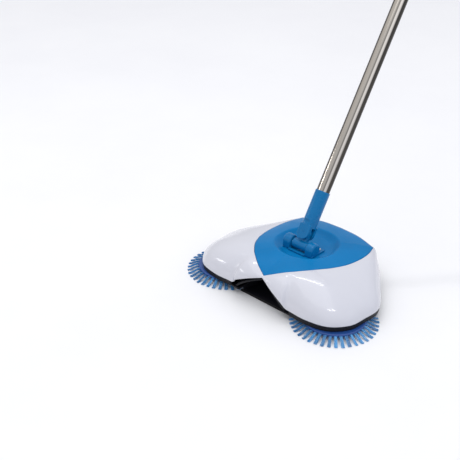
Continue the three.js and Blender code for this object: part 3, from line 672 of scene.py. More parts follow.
def cross_screw(name, x, y, face, length, head_r, depth, shank_r):
    """Pan-head screw with a cross recess, its head at height `face`. A negative length runs down."""
    way = 1 if length > 0 else -1
    run = [(0, 0), (0.55 * head_r, 0.1 * depth), (0.85 * head_r, 0.35 * depth), (head_r, 0.85 * depth),
           (head_r, depth), (shank_r, depth), (shank_r, abs(length) - 1), (0, abs(length))]
    bm = turn([(r, way * h) for r, h in run], 40)
    bmesh.ops.translate(bm, verts=bm.verts, vec=(x, y, face))
    screw = add_mesh(name, bm, mat_steel, smooth=35)
    for number, (arm, half) in enumerate(((0.6, 0.13), (0.13, 0.6))):
        cutter = bmesh.new()
        add_box(cutter, (x - arm * head_r, y - half * head_r, face - 0.6 * depth),
                (x + arm * head_r, y + half * head_r, face + 0.6 * depth))
        carve(screw, add_mesh(f"recess_{number}", cutter, mat_steel))
    shade(screw, 35)
    return screw


# ---------------------------------------------------------------- chassis
PLATE_LOW, PLATE_HIGH = 9.2, 11.5
INSET = 1.4
WHEEL = {"y": 82, "z": 21, "from": 76, "to": 90, "tyre": 21}
SHAFT_R = 2.5
ROLLER = {"y": 22, "z": 27, "radius": 16.8, "core": 7, "half": 37}
REAR_ROLLER = {"x": 61, "y": 122, "radius": 8, "half": 5, "pin": 1.5}
DOOR = {"half": 48.6, "hinge_y": 52.5, "hinge_z": 9.2, "rear": 125.6, "barrel": 2.2, "pin": 1}
LATCH = {"half": 12, "from": 122.5, "to": 133.5, "low": 6.7, "high": 9.2}
COVER_SCREWS = ((124.5, 48), (82, 110))


def footprint(inset):
    """The rim's outline without the arch, as (x, y)."""
    points = []
    for top, rim in EDGES:
        if rim.z <= RIM_Z + 0.01:
            p = rim + inward(top, rim) * inset
            points.append((p.x, p.y))
    return points


def add_prism(bm, outline_xy, low, high):
    bottom = [bm.verts.new((x, y, low)) for x, y in outline_xy]
    top = [bm.verts.new((x, y, high)) for x, y in outline_xy]
    bm.faces.new(bottom)
    bm.faces.new(top)
    for i, _ in enumerate(bottom):
        j = (i + 1) % len(bottom)
        bm.faces.new((bottom[i], bottom[j], top[j], top[i]))


def both(bm, low, high):
    """A box and its mirror image in X."""
    add_box(bm, low, high)
    add_box(bm, (-high[0], low[1], low[2]), (-low[0], high[1], high[2]))


def disc(radius, start, end):
    """The profile of a plain cylinder, for turn."""
    return [(0, start), (radius, start), (radius, end), (0, end)]


def add_rod(bm, radius, start_x, end_x, y, z, segments=32):
    turn(disc(radius, start_x, end_x), segments, bm, "X", (0, y, z))


def mirrored_rod(bm, radius, start_x, end_x, y, z):
    add_rod(bm, radius, start_x, end_x, y, z)
    add_rod(bm, radius, -end_x, -start_x, y, z)


def add_post(bm, radius, low, high, x, y, segments=48):
    turn(disc(radius, low, high), segments, bm, "Z", (x, y, 0))


def cutter_from(draw, matrix=HEAD):
    """A throwaway piece for carve, made of what `draw` adds."""
    bm = bmesh.new()
    draw(bm)
    return add_mesh("cutter", bm, mat_black, matrix)


def bore_cutter(radius, reach, y, z, segments=32, matrix=HEAD):
    """A cutter for a round hole along X."""
    return cutter_from(lambda tool: add_rod(tool, radius, -reach, reach, y, z, segments), matrix)


def plate_openings(bm):
    x, y, radius, half = (REAR_ROLLER[k] for k in ("x", "y", "radius", "half"))
    add_box(bm, (-38, -60, 0), (38, 47.5, 20))
    add_box(bm, (-49, 49.9, 0), (49, 126, 20))
    both(bm, (75, 62, 0), (94.2, 102, 20))
    both(bm, (x - half - 0.5, y - radius - 1, 0), (x + half + 0.5, y + radius + 1, 20))
    for sign in (-1, 1):
        add_post(bm, 9.3, 0, 20, sign * BRUSH_X, 0)
        for sx, sy in COVER_SCREWS:
            add_post(bm, 1.75, 0, 20, sign * sx, sy, 24)


def chassis():
    bm = bmesh.new()
    add_prism(bm, footprint(INSET), PLATE_LOW, PLATE_HIGH)
    plate = add_mesh("chassis_plate", bm, mat_black, smooth=30)
    carve(plate, cutter_from(plate_openings))
    evaluated(bevel(plate, 0.35, 2))

    bm = bmesh.new()
    outline_ring(bm, INSET, 2.2, PLATE_HIGH - 0.5, RIM_Z - 0.3, lambda p: abs(p.x) > 52 or p.y > 20)
    ribs(bm)
    curb = add_mesh("chassis_curb", bm, mat_black, smooth=35)

    bm = bmesh.new()
    chassis_fittings(bm)
    blocks = add_mesh("chassis_blocks", bm, mat_black, smooth=30)
    carve(blocks, cutter_from(chassis_bores))
    evaluated(bevel(blocks, 0.3, 2))
    shade(blocks, 35)
    return merge("chassis_tray", [plate, curb, blocks])


def ribs(bm):
    """Stiffening ribs under the floor, and raised rings round the screws."""
    for sign in (-1, 1):
        for x, front, rear in ((60, 64, 108), (110, 62, 78)):
            low, high = sorted((sign * (x - 0.8), sign * (x + 0.8)))
            add_box(bm, (low, front, PLATE_LOW - 1.2), (high, rear, PLATE_LOW + 0.5))
        for sx, sy in COVER_SCREWS:
            turn(rounded([(3.6, PLATE_LOW - 1.6), (5.2, PLATE_LOW - 1.6), (5.2, PLATE_LOW + 0.4),
                          (3.6, PLATE_LOW + 0.4)], 0.3), 40, bm, "Z", (sign * sx, sy, 0))


def chassis_fittings(bm):
    x, y, radius, half = (REAR_ROLLER[k] for k in ("x", "y", "radius", "half"))
    tall = (PLATE_LOW + 0.5, 26)
    for low, high in ((60.5, 63.5), (101.5, 105)):
        both(bm, (low, WHEEL["y"] - 5, tall[0]), (high, WHEEL["y"] + 5, tall[1]))
    for low, high in ((31, 35), (52, 56)):
        both(bm, (BRUSH_X - 5.2, low, tall[0]), (BRUSH_X + 5.2, high, tall[1]))
    for low in (x - half - 3.5, x + half + 0.5):
        both(bm, (low, y - 4, radius - 3.4), (low + 3, y + 4, PLATE_HIGH - 0.3))
    both(bm, (DOOR["half"] + 0.4, DOOR["hinge_y"] - 3, DOOR["hinge_z"] - 2.6),
         (DOOR["half"] + 4, DOOR["hinge_y"] + 3, PLATE_HIGH - 0.3))
    low = LATCH["low"] - 1.8
    both(bm, (LATCH["half"] + 0.3, 128, low), (LATCH["half"] + 3, 131, PLATE_HIGH - 0.3))
    both(bm, (LATCH["half"] - 2, 128, low), (LATCH["half"] + 0.4, 131, LATCH["low"] - 0.3))


def chassis_bores(bm):
    y, z = WHEEL["y"], WHEEL["z"]
    mirrored_rod(bm, SHAFT_R + PLAY, 59, 65, y, z)
    mirrored_rod(bm, 4.3, 100, 106, y, z)
    for sign in (-1, 1):
        turn(disc(2.3, 30, 57), 32, bm, "Y", (sign * BRUSH_X, 0, z))
    x, y, radius, pin = (REAR_ROLLER[k] for k in ("x", "y", "radius", "pin"))
    mirrored_rod(bm, pin + PLAY, x - 12, x + 12, y, radius)
    half, pin, y, z = (DOOR[k] for k in ("half", "pin", "hinge_y", "hinge_z"))
    mirrored_rod(bm, pin + PLAY, half, half + 5, y, z)


def merge(name, pieces, smooth=22):
    """Joins pieces into one object, its flat faces shaded flat up to their bevels."""
    bm = bmesh.new()
    for piece in pieces:
        bm.from_mesh(piece.data)
    mesh = bpy.data.meshes.new(name)
    bm.to_mesh(mesh)
    bm.free()
    mesh.materials.append(pieces[0].data.materials[0])
    whole = bpy.data.objects.new(name, mesh)
    bpy.context.scene.collection.objects.link(whole)
    for piece in pieces:
        bpy.data.objects.remove(piece)
    shade(whole, smooth)
    return whole


# ---------------------------------------------------------------- intake
DUCT_FRONT = ((46.5, -40.5, 11.8), (38, -41.5, 20), (22, -40, 30.8), (0, -33.5, 39.6))
DUCT_BEND = ((46.5, 4, 11.8), (46.5, 4, 38), (38, 4, 46), (0, 4, 47))
DUCT_WALL = 1.8


def duct_row(half, inset):
    right = []
    for i, p in enumerate(spline(half, 6)):
        side = inset * max(0, 1 - max(0, i - 12) / 6)
        right.append(Vector((p.x - side, p.y, p.z - (inset if i else 0))))
    left = [Vector((-p.x, p.y, p.z)) for p in right[:-1]]
    return left + right[::-1]


def add_shell(bm, outer, inner):
    """The closed wall between two grids of points of the same size."""
    rows = [a + b[::-1] for a, b in zip(outer, inner)]
    verts = add_grid(bm, rows, wrap_columns=True)
    width = len(outer[0])
    for row in (verts[0], verts[-1]):
        for j in range(width - 1):
            bm.faces.new((row[j], row[j + 1], row[2 * width - 2 - j], row[2 * width - 1 - j]))


def intake_duct():
    rear = [(x, 47, z) for x, _, z in DUCT_BEND]
    steps = 10
    outer, inner = [], []
    for path, inset in ((outer, 0), (inner, DUCT_WALL)):
        ends = [duct_row(half, inset) for half in (DUCT_FRONT, DUCT_BEND, rear)]
        for a, b in zip(ends, ends[1:]):
            path += [[p.lerp(q, k / steps) for p, q in zip(a, b)] for k in range(steps)]
        path.append(ends[-1])
    bm = bmesh.new()
    add_shell(bm, outer, inner)
    duct = add_mesh("intake_throat", bm, mat_black, smooth=40)
    return carve(duct, bore_cutter(SHAFT_R + PLAY, 60, ROLLER["y"], ROLLER["z"]))


RAMP = {"front": -29, "rear": 47, "low": 0.5, "rise": 8.9, "thick": 2, "half": 46, "narrow": 37.5,
        "step": 15}    # narrower behind the step
CHEEK = {"low": 1.2, "high": 11.2, "near": BRISTLE_TIP + 1.6, "far": BRISTLE_TIP + 3.2}
LIP = {"half": 44, "front": -32.5, "bend": -30.4, "rear": -29.3, "fingers": 22, "slit": 0.12}


def ramp_height(y):
    return RAMP["low"] + RAMP["rise"] * (y - RAMP["front"]) / (RAMP["rear"] - RAMP["front"])


def ramp_cutter(bm):
    both(bm, (RAMP["narrow"], RAMP["step"], -1), (60, 60, 30))
    for sign in (-1, 1):
        add_post(bm, BRISTLE_TIP + 1.5, -1, 30, sign * BRUSH_X, 0, 128)


def intake_ramp():
    """The sloping floor that crumbs are swept up, between two low walls."""
    bm = bmesh.new()
    front, rear, half, thick = (RAMP[k] for k in ("front", "rear", "half", "thick"))
    section = [(front, ramp_height(front)), (rear, ramp_height(rear)), (rear, ramp_height(rear) + thick),
               (front + 3, ramp_height(front + 3) + thick), (front, ramp_height(front) + 0.8)]
    rows = [[Vector((x, y, z)) for y, z in section] for x in (-half, half)]
    verts = add_grid(bm, rows, wrap_columns=True)
    bm.faces.new(verts[0])
    bm.faces.new(verts[1])
    ramp_piece = add_mesh("ramp_plate", bm, mat_ramp, smooth=30)
    carve(ramp_piece, cutter_from(ramp_cutter), overlapping=True)
    evaluated(bevel(ramp_piece, 0.3, 2))
    bm = bmesh.new()
    for sign in (-1, 1):
        add_prism(bm, cheek_outline(sign), CHEEK["low"], CHEEK["high"])
    cheeks = add_mesh("ramp_cheeks", bm, mat_ramp, smooth=40)
    bevel(cheeks, 0.3, 2)
    return merge("sweep_ramp", [ramp_piece, evaluated(cheeks)])


def cheek_outline(sign):
    """A thin wall along the ramp's side that keeps clear of the bristles' circle."""
    arcs = []
    for radius in (CHEEK["near"], CHEEK["far"]):
        start, end = (math.asin(y / radius) for y in (RAMP["front"] + 1, RAMP["step"]))
        angles = [start + (end - start) * k / 16 for k in range(17)]
        arcs.append([(sign * (BRUSH_X - radius * math.cos(a)), radius * math.sin(a)) for a in angles])
    return arcs[0] + arcs[1][::-1]


def intake_lip():
    """Soft wiper along the ramp's front edge, slit into fingers."""
    half, slit = LIP["half"], LIP["slit"] / 2
    width = 2 * half / LIP["fingers"]
    bm = bmesh.new()
    for k in range(LIP["fingers"]):
        low = k * width - half
        add_box(bm, (low + slit, LIP["front"], 0.55), (low + width - slit, LIP["bend"], 1.2))
    add_box(bm, (-half, LIP["bend"] - 0.2, 0.5), (half, LIP["rear"], 2))
    lip = add_mesh("wiper_lip", bm, mat_rubber, smooth=30)
    return bevel(lip, 0.15, 2)


# ---------------------------------------------------------------- roller, wheels and floor fittings
ROWS = {"count": 4, "places": 30, "half": 34, "twist": 1.9, "strands": 16}    # twist in radians
TREAD = {"bore": 17.3, "shoulder": 0.5, "grooves": 36, "depth": 0.7}
GEAR = {"teeth": 20, "inner": 12.5, "outer": 17.5, "face": 90.75, "tip": 93.45}


def roller_tufts():
    """Helical rows of short bristle bundles round the core."""
    bm = bmesh.new()
    layer = bm.verts.layers.float.new("strand")
    axis_y, axis_z, core, tip = (ROLLER[k] for k in ("y", "z", "core", "radius"))
    half, places = ROWS["half"], ROWS["places"]
    for row in range(ROWS["count"]):
        for k in range(places):
            x = 2 * half * k / (places - 1) - half
            angle = 2 * math.pi * row / ROWS["count"] + ROWS["twist"] * k / places
            tuft_tone = random.uniform(0.2, 0.6)
            for _ in range(ROWS["strands"]):
                lean = angle + random.gauss(0, 0.035)
                out = Vector((0, math.cos(lean), math.sin(lean)))
                foot = Vector((x + random.gauss(0, 0.5), axis_y, axis_z)) + out * (core - 0.5)
                sway = Vector((random.gauss(0, 0.9), 0, 0))
                length = tip - core - random.uniform(0.1, 0.8)
                path = [foot + out * length * t + sway * t * t for t in (0, 0.5, 1)]
                add_filament(bm, layer, path, 0.2, share(tuft_tone + random.gauss(0, 0.12)))
    return add_mesh("roller_tufts", bm, mat_bristle)


def roller_core():
    bm = bmesh.new()
    half, core = ROLLER["half"], ROLLER["core"]
    turn(rounded([(2.8, -half), (core, -half), (core, half), (2.8, half)], 0.6), 64, bm, "X",
         (0, ROLLER["y"], ROLLER["z"]))
    return add_mesh("roller_barrel", bm, mat_navy, smooth=35)


def to_axle(bm, sign):
    """Moves what was drawn round the X axis to the wheel's axle, on one side or the other."""
    bmesh.ops.transform(bm, matrix=Matrix.Diagonal((sign, 1, 1, 1)), verts=bm.verts)
    bmesh.ops.translate(bm, verts=bm.verts, vec=(0, WHEEL["y"], WHEEL["z"]))


def tyre(sign):
    """Rubber tyre with a rounded shoulder and shallow cross grooves."""
    near, far, radius = WHEEL["from"], WHEEL["to"] - 1.3, WHEEL["tyre"]
    bore, edge = TREAD["bore"], radius - TREAD["shoulder"]
    profile = [(bore, near), (edge, near), (radius, near + 2), (radius, far - 2), (edge, far), (bore, far)]
    bm = turn(rounded(profile, 0.6), 5 * TREAD["grooves"], axis="X")
    for vert in bm.verts:
        reach = math.hypot(vert.co.y, vert.co.z)
        angle = math.atan2(vert.co.z, vert.co.y)
        if reach > radius - 0.4 and math.cos(TREAD["grooves"] * angle) > 0.55:
            vert.co.y *= 1 - TREAD["depth"] / reach
            vert.co.z *= 1 - TREAD["depth"] / reach
    to_axle(bm, sign)
    return add_mesh(sided("tread", sign), bm, mat_rubber, smooth=30)


def wheel(sign):
    """Rim, web and hub, with a face gear on the outer side."""
    near, far = WHEEL["from"], WHEEL["to"]
    inside = [(2.8, near), (6, near), (6, near + 5), (14, near + 5), (14, near), (17, near)]
    outside = [(17, far), (GEAR["outer"], far), (GEAR["outer"], GEAR["face"]), (2.8, GEAR["face"])]
    bm = turn(rounded(inside + outside, 0.35), 96, axis="X")
    for k in range(6):
        spoke = Matrix.Rotation(math.pi / 3 * k, 4, "X")
        add_box(bm, (near + 0.8, 5.5, -0.8), (near + 5.3, 14.3, 0.8), spoke)
    for k in range(GEAR["teeth"]):
        tooth = Matrix.Rotation(2 * math.pi * k / GEAR["teeth"], 4, "X")
        add_box(bm, (GEAR["face"] - 0.75, -0.65, GEAR["inner"]), (GEAR["tip"], 0.65, GEAR["outer"]), tooth)
    to_axle(bm, sign)
    return add_mesh(sided("drive_wheel", sign), bm, mat_nylon, smooth=35)


def rear_roller(sign):
    """Plain roller with a ring-shaped recess in each end."""
    x, y, radius, half, pin = (REAR_ROLLER[k] for k in ("x", "y", "radius", "half", "pin"))
    low, high = sorted((sign * (x - half), sign * (x + half)))
    end = [(pin + PLAY, 0), (4.6, 0), (5, 0.6), (7, 0.6), (7.4, 0), (radius, 0.9)]
    profile = [(r, low + depth) for r, depth in end] + [(r, high - depth) for r, depth in reversed(end)]
    bm = turn(rounded(profile, 0.4), 64, axis="X", at=(0, y, radius))
    return add_mesh(sided("trailing_roller", sign), bm, mat_rubber, smooth=35)


GRID = {"step": 11, "each_way": 4, "half": 44.6, "front": 60, "rear": 118, "thick": 0.6}


def bin_door():
    """Floor door with a hinge barrel and a stiffening grid."""
    half, rear, barrel, pin = (DOOR[k] for k in ("half", "rear", "barrel", "pin"))
    hinge_y, hinge_z = DOOR["hinge_y"], DOOR["hinge_z"]
    bm = bmesh.new()
    add_box(bm, (-half, hinge_y + 0.5, PLATE_LOW), (half, rear, PLATE_HIGH - 0.2))
    leaf = add_mesh("door_leaf", bm, mat_black, smooth=30)
    carve(leaf, bore_cutter(pin + PLAY, 60, hinge_y, hinge_z))
    evaluated(bevel(leaf, 0.5, 3))
    bm = bmesh.new()
    section = [(pin + PLAY, -half), (barrel, -half), (barrel, half), (pin + PLAY, half)]
    turn(rounded(section, 0.3), 40, bm, "X", (0, hinge_y, hinge_z))
    low, high, thick, front, rear = PLATE_LOW - 1, PLATE_LOW + 0.3, GRID["thick"], GRID["front"], GRID["rear"]
    for k in range(-GRID["each_way"], GRID["each_way"] + 1):
        x = GRID["step"] * k
        add_box(bm, (x - thick, front, low), (x + thick, rear, high))
    for y in (front, rear):
        add_box(bm, (-GRID["half"], y - thick, low), (GRID["half"], y + thick, high))
    detail = add_mesh("door_detail", bm, mat_black, smooth=30)
    evaluated(bevel(detail, 0.25, 2))
    return merge("bin_floor_door", [leaf, detail])


def bin_latch():
    half, start_y, end_y, low, high = (LATCH[k] for k in ("half", "from", "to", "low", "high"))
    bm = bmesh.new()
    add_box(bm, (-half, start_y, low), (half, end_y, high))
    for k in range(4):
        add_box(bm, (-7, start_y + 2 + 2 * k, low - 0.8), (7, start_y + 3 + 2 * k, low + 0.3))
    latch = add_mesh("door_latch", bm, mat_joint, smooth=30)
    return bevel(latch, 0.35, 3)


# ---------------------------------------------------------------- universal joint
PIVOT_Y, PIVOT_Z = 45.5, 60
BOSS = {"radius": 10, "inner": 13, "outer": 27}
BASE = {"low": 51.8, "high": 54, "front": 37, "lip": 33.5, "rear": 66}
BASE_SCREW = (20, 61)
PIN_R = 2.5
TILT = 18
EAR = {"radius": 9.5, "inner": 3.9, "outer": 9.5}
SLEEVE = {"radius": 10.75, "bore": 9.8, "floor": 37, "top": 81}


def joint_base():
    """Foot in the dish with two round bosses that carry the pitch pin."""
    bm = bmesh.new()
    inner, outer, radius = BOSS["inner"] + 0.25, BOSS["outer"] - 0.25, BOSS["radius"] - 0.1
    low, high = BASE["low"] + 0.1, BASE["high"]
    both(bm, (inner, BASE["front"], low), (outer, BASE["rear"], high))
    for sign in (-1, 1):
        start_x, end_x = sorted((sign * inner, sign * outer))
        boss = rounded(disc(radius, start_x, end_x), 3.5, 6)
        turn(boss, 64, bm, "X", (0, PIVOT_Y, PIVOT_Z))
    both(bm, (inner + 1, PIVOT_Y - radius, low), (outer - 1, PIVOT_Y + radius, PIVOT_Z - 2))
    add_box(bm, (-inner - 1, BASE["lip"], low), (inner + 1, BASE["front"] + 1, high))
    base = add_mesh("joint_bosses", bm, mat_joint)
    fuse(base, 0.45)

    def holes(tool):
        add_rod(tool, PIN_R + PLAY, -26, 26, PIVOT_Y, PIVOT_Z, 48)
        for sign in (-1, 1):
            add_post(tool, 1.6, 40, 60, sign * BASE_SCREW[0], BASE_SCREW[1], 24)

    carve(base, cutter_from(holes))
    shade(base, 45)
    return base


def joint_cross():
    """Barrel on the pitch pin with the tongue that carries the tilt pin, along the handle."""
    bm = bmesh.new()
    add_rod(bm, 6.9, -12.5, 12.5, 0, 0, 64)
    add_box(bm, (-7.4, -3.4, 2), (7.4, 3.4, TILT))
    turn(disc(7.9, -3.4, 3.4), 64, bm, "Y", (0, 0, TILT))
    for x in (-10.3, 10.3):
        add_rod(bm, 6.95, x - 0.9, x + 0.9, 0, 0, 64)
    piece = add_mesh("pivot_tongue", bm, mat_joint, HANDLE)
    fuse(piece, 0.4)

    def holes(tool):
        add_rod(tool, PIN_R + PLAY, -20, 20, 0, 0, 48)
        turn(disc(PIN_R + PLAY, -10, 10), 48, tool, "Y", (0, 0, TILT))

    carve(piece, cutter_from(holes, HANDLE))
    shade(piece, 45)
    return piece


def handle_socket():
    """Forked sleeve: two ears on the tilt pin, an arched recess by each, and the tube's bore."""
    radius, bore, floor, top = (SLEEVE[k] for k in ("radius", "bore", "floor", "top"))
    ear_r, ear_y, shoulder = EAR["radius"], EAR["outer"] - 0.2, TILT + 9
    bm = bmesh.new()
    turn(disc(ear_r, -ear_y, ear_y), 64, bm, "Y", (0, 0, TILT))
    add_box(bm, (-ear_r, -ear_y, TILT), (ear_r, ear_y, TILT + 12))
    turn([(0, TILT + 1), (ear_r, TILT + 1), (radius - 0.1, shoulder), (0, shoulder)], 96, bm)
    turn(disc(radius - 0.1, shoulder, top), 96, bm)
    piece = add_mesh("socket_sleeve", bm, mat_joint, HANDLE)
    fuse(piece, 0.4, 8)

    def holes(tool):
        add_box(tool, (-30, -EAR["inner"], -5), (30, EAR["inner"], shoulder))
        for start_y, end_y in ((-15, 0.3 - EAR["outer"]), (EAR["outer"] - 0.3, 15)):
            turn(disc(8.6, start_y, end_y), 64, tool, "Y", (0, 0, TILT + 11))
        add_post(tool, bore, floor, top + 2, 0, 0, 96)
        turn(disc(PIN_R + PLAY, -8.5, 8.5), 48, tool, "Y", (0, 0, TILT))

    carve(piece, cutter_from(holes, HANDLE))
    shade(piece, 40)
    bevel(piece, 0.35, 2, 50)
    return piece


def pin(name, radius, reach, matrix, axis, at):
    """Pin with domed ends."""
    dome = [(0, reach), (radius - 0.9, reach - 0.05), (radius - 0.25, reach - 0.35), (radius, reach - 0.9)]
    profile = [(r, -along) for r, along in dome] + dome[::-1]
    bm = turn(profile, 40, axis=axis, at=at)
    return add_mesh(name, bm, mat_steel, matrix, smooth=50)


# ---------------------------------------------------------------- handle
LOWER_TUBE = {"radius": 9.5, "bore": 9.15, "from": 37.3, "to": 556}
UPPER_TUBE = {"radius": 8, "bore": 7.65, "from": 370, "to": 884}
COLLAR = {"radius": 13.5, "from": 538, "to": 585, "flutes": 16}
SEAT_R = 11
GRIP = {"radius": 12.5, "from": 780, "to": 892, "tab": 912, "eye": 5}


def tube(name, size):
    bore, radius, low, high = (size[k] for k in ("bore", "radius", "from", "to"))
    bm = turn(rounded([(bore, low), (radius, low), (radius, high), (bore, high)], 0.15), 128)
    return add_mesh(name, bm, mat_tube, HANDLE, smooth=35)


def lock_collar():
    """Twist lock with a groove near its lower end and finger flutes above it."""
    radius, low, high = COLLAR["radius"], COLLAR["from"], COLLAR["to"]
    seat, throat = SEAT_R + PLAY, UPPER_TUBE["radius"] + PLAY
    foot = [(seat, low), (radius - 0.6, low), (radius, low + 1.5)]
    groove = [(radius, low + 5), (radius - 1, low + 6), (radius - 1, low + 7), (radius, low + 8)]
    mouth = [(radius, high - 8), (radius - 1, high - 7), (radius - 2.5, high)]
    inside = [(throat, high), (throat, high - 8), (seat, high - 14)]
    bm = turn(refine(rounded(foot + groove + mouth + inside, 0.6), 1.5), 192)
    for vert in bm.verts:
        x, y, z = vert.co
        reach = math.hypot(x, y)
        depth = smooth_step(low + 7.5, low + 11, z) * (1 - smooth_step(high - 13, high - 8, z))
        depth *= 0.9 * max(0, math.cos(COLLAR["flutes"] * math.atan2(y, x))) ** 1.5
        if reach > radius - 1.2:
            vert.co.x *= 1 - depth / reach
            vert.co.y *= 1 - depth / reach
    return add_mesh("twist_collar", bm, mat_joint, HANDLE, smooth=45)


def refine(points, pitch, closed=True):
    """Adds points so that no straight run between two of them is longer than the pitch."""
    out = []
    for a, b in zip(points, points[1:] + points[:closed]):
        count = max(1, math.ceil(math.dist(a, b) / pitch))
        out += [(a[0] + (b[0] - a[0]) * k / count, a[1] + (b[1] - a[1]) * k / count) for k in range(count)]
    return out if closed else [*out, points[-1]]


def grip():
    """Soft grip with shallow rings, closed at the end by a flat tab with the hanging eye."""
    radius, low, high = GRIP["radius"], GRIP["from"], GRIP["to"]
    bore = UPPER_TUBE["radius"] + PLAY
    outer = [Vector((r, z, 0)) for r, z in (
        (radius - 2, low), (radius - 1, low + 6), (radius - 2, low + 40), (radius, low + 75),
        (radius - 0.5, high - 10), (radius - 4, high))]
    smooth = [(p.x - 0.1, p.y) for p in spline(outer, 12)]
    ringed = []
    for r, z in refine(smooth, 0.5, closed=False):
        inside = smooth_step(low + 12, low + 16, z) * (1 - smooth_step(high - 22, high - 18, z))
        ringed.append((r - 0.55 * inside * max(0, math.cos(2 * math.pi * z / 5)) ** 3, z))
    floor = UPPER_TUBE["to"] + PLAY
    bm = turn([(bore, low), (radius - 3, low), *ringed, (0, high), (0, floor), (bore, floor)], 128)
    body = add_mesh("grip_body", bm, mat_grip, HANDLE, smooth=50)
    bm = bmesh.new()
    eye = GRIP["tab"] - 9
    add_box(bm, (-2.9, -8.9, high - 3.5), (2.9, 8.9, eye))
    add_rod(bm, 8.9, -2.9, 2.9, 0, eye, 96)
    tab = add_mesh("grip_tab", bm, mat_grip, HANDLE)
    fuse(tab, 0.35, 4)
    carve(tab, bore_cutter(GRIP["eye"], 9, 0, eye, 64, HANDLE))
    evaluated(bevel(tab, 0.5, 3, 50))
    return merge("hand_grip", [body, tab], 50)


# ---------------------------------------------------------------- assembly
def fit(piece, body, slot, *nodes):
    """A finished piece rides on its body in place of the CAD nodes it stands for."""
    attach(piece, body)
    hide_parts(*nodes)
    return piece


fit(top_cover(), "head", "cover_white", "top_cover")
fit(top_panel(), "head", "panel_blue", "top_panel")
fit(chassis(), "head", "chassis_black", "chassis")
fit(intake_duct(), "head", "chassis_black", "intake_duct")
fit(intake_ramp(), "head", "chassis_black", "intake_ramp")
fit(intake_lip(), "head", "rubber_black", "intake_lip")
fit(joint_base(), "head", "panel_blue", "joint_base")
fit(pin("pitch_axle", PIN_R, 25.8, HEAD, "X", (0, PIVOT_Y, PIVOT_Z)), "head", "pin_steel", "pitch_pin")
fit(bin_door(), "bin_door", "chassis_black", "bin_door")
fit(bin_latch(), "bin_latch", "panel_blue", "bin_latch")
fit(roller_tufts(), "roller", "bristle_blue", "roller_bristles")
fit(roller_core(), "roller", "hub_navy", "roller_core")
fit(joint_cross(), "cross", "panel_blue", "joint_cross")
fit(pin("tilt_axle", PIN_R, 8.3, HANDLE, "Y", (0, 0, TILT)), "cross", "pin_steel", "tilt_pin")
fit(handle_socket(), "handle", "panel_blue", "handle_socket")
fit(tube("steel_tube_lower", LOWER_TUBE), "handle", "tube_steel", "lower_tube")
fit(tube("steel_tube_upper", UPPER_TUBE), "upper_handle", "tube_steel", "upper_tube")
fit(lock_collar(), "lock_collar", "panel_blue", "lock_collar")
fit(grip(), "upper_handle", "panel_blue", "grip")

for side, sign in SIDES:
    fit(side_tufts(sign), f"brush_{side}", "bristle_blue", f"side_brush_bristles_{side}")
    fit(brush_hub(sign), f"brush_{side}", "hub_navy", f"side_brush_hub_{side}")
    fit(cross_screw(f"hub_screw_{side}", sign * BRUSH_X, 0, 3.2, 10, 3.6, 1.4, 1.4),
        f"brush_{side}", "pin_steel", f"brush_screw_{side}")
    fit(wheel(sign), f"wheel_{side}", "nylon_white", f"wheel_{side}")
    fit(tyre(sign), f"wheel_{side}", "rubber_black", f"tyre_{side}")
    fit(rear_roller(sign), f"rear_roller_{side}", "rubber_black", f"rear_roller_{side}")
    for place, (x, y) in zip(("front", "rear"), COVER_SCREWS):
        fit(cross_screw(f"casing_screw_{place}_{side}", sign * x, y, 7.8, 18.2, 3.2, 1.1, 1.4),
            "head", "pin_steel", f"cover_screw_{place}_{side}")
    fit(cross_screw(f"foot_screw_{side}", sign * BASE_SCREW[0], BASE_SCREW[1], 55.6, -10.6, 2.8, 1.3, 1.3),
        "head", "pin_steel", f"base_screw_{side}")

CARRIED = {
    "front_pinion": mat_nylon, "rear_pinion": mat_nylon, "brush_gear": mat_nylon, "axle_bush": mat_nylon,
    "roller_pulley": mat_nylon, "drive_pulley": mat_nylon, "collar_seat": mat_nylon, "tube_plug": mat_nylon,
    "lay_shaft": mat_steel, "stub_axle": mat_steel, "roller_shaft": mat_steel, "bin_door_pin": mat_steel,
    "rear_roller_pin": mat_steel, "roller_belt": mat_rubber, "dust_bin": mat_black,
}
for name, piece in frame["nodes"].items():
    material = CARRIED.get(name.removesuffix("_left").removesuffix("_right"))
    if material and not piece.hide_render:
        piece.data.materials.clear()
        piece.data.materials.append(material)
        bevel(piece, 0.25, 2, 30)


# ---------------------------------------------------------------- stage, light and camera
def floor():
    material, shader = start("pale_floor", (0.87, 0.87, 0.87), 0.35)
    vary(material, shader, grain(material, 3, 4), (0.86, 0.86, 0.865), (0.885, 0.885, 0.885))
    bm = bmesh.new()
    bmesh.ops.create_grid(bm, x_segments=8, y_segments=8, size=6)
    mesh = bpy.data.meshes.new("studio_floor")
    bm.to_mesh(mesh)
    bm.free()
    plane = bpy.data.objects.new("studio_floor", mesh)
    bpy.context.scene.collection.objects.link(plane)
    mesh.materials.append(material)


def softbox(name, at, target, size, power, colour=(1, 1, 1)):
    light = bpy.data.lights.new(name, "AREA")
    light.shape = "RECTANGLE"
    light.size, light.size_y = size
    light.energy = power
    light.color = colour
    lamp = bpy.data.objects.new(name, light)
    bpy.context.scene.collection.objects.link(lamp)
    lamp.location = at
    lamp.rotation_euler = (Vector(target) - Vector(at)).to_track_quat("-Z", "Y").to_euler()


SKY_BY_HEIGHT = ((0.0, (0.62, 0.62, 0.64, 1)), (0.6, (1, 1, 1, 1)))
SKY_BY_SIDE = ((0.0, (0.86, 0.85, 0.86, 1)), (1.0, (1.0, 1.03, 1.12, 1)))


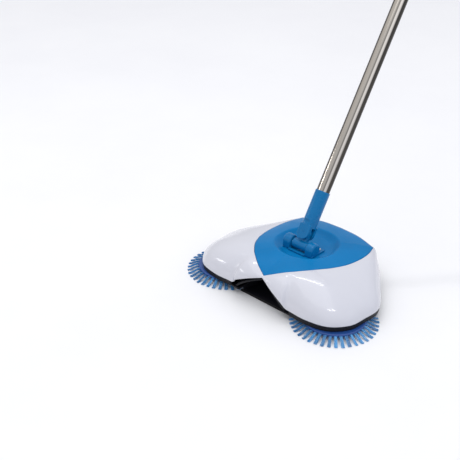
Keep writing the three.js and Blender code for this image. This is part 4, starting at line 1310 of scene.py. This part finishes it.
def studio_world():
    """Brightest overhead, greyer towards the horizon, and cooler on the object's right."""
    world = bpy.data.worlds.new("studio")
    bpy.context.scene.world = world
    world.use_nodes = True
    nodes, links = world.node_tree.nodes, world.node_tree.links
    place = nodes.new("ShaderNodeTexCoord")
    split = nodes.new("ShaderNodeSeparateXYZ")
    sideways = nodes.new("ShaderNodeMapRange")
    blend = nodes.new("ShaderNodeMix")
    blend.data_type = "RGBA"
    blend.blend_type = "MULTIPLY"
    blend.inputs["Factor"].default_value = 1
    sideways.inputs["From Min"].default_value = -1
    links.new(place.outputs["Generated"], split.inputs["Vector"])
    links.new(split.outputs["X"], sideways.inputs["Value"])
    tones = (
        (split.outputs["Z"], blend.inputs[MIX_A], SKY_BY_HEIGHT),
        (sideways.outputs["Result"], blend.inputs[MIX_B], SKY_BY_SIDE),
    )
    for source, target, stops in tones:
        tone = nodes.new("ShaderNodeValToRGB")
        for element, (at, colour) in zip(tone.color_ramp.elements, stops):
            element.position = at
            element.color = colour
        links.new(source, tone.inputs["Fac"])
        links.new(tone.outputs["Color"], target)
    links.new(blend.outputs[MIX_RESULT], nodes["Background"].inputs["Color"])
    nodes["Background"].inputs["Strength"].default_value = 1.0


floor()
studio_world()
AIM = (0, -0.2, 0.05)
softbox("overhead", (-0.4, -0.6, 3.2), AIM, (3.2, 3.2), 22)
softbox("near_strip", (-0.42, 0.13, 1.4), AIM, (0.9, 0.05), 1.8)
softbox("side_strip", (0.68, -0.58, 1.38), AIM, (0.42, 0.05), 1.0)
softbox("far_strip", (-1.2, -1.1, 0.56), AIM, (0.5, 0.06), 0.9)

scene = bpy.context.scene
scene.view_settings.view_transform = "Standard"
lens = bpy.data.cameras.new("photo_view")
lens.lens = 70.43
lens.sensor_width = 36
camera = bpy.data.objects.new("photo_view", lens)
scene.collection.objects.link(camera)
camera.matrix_world = Matrix((
    (0.7214, -0.3386, 0.6041, 0.6855),
    (0.6925, 0.3527, -0.6293, -1.0553),
    (0.0, 0.8723, 0.4890, 0.6973),
    (0, 0, 0, 1)))
scene.camera = camera
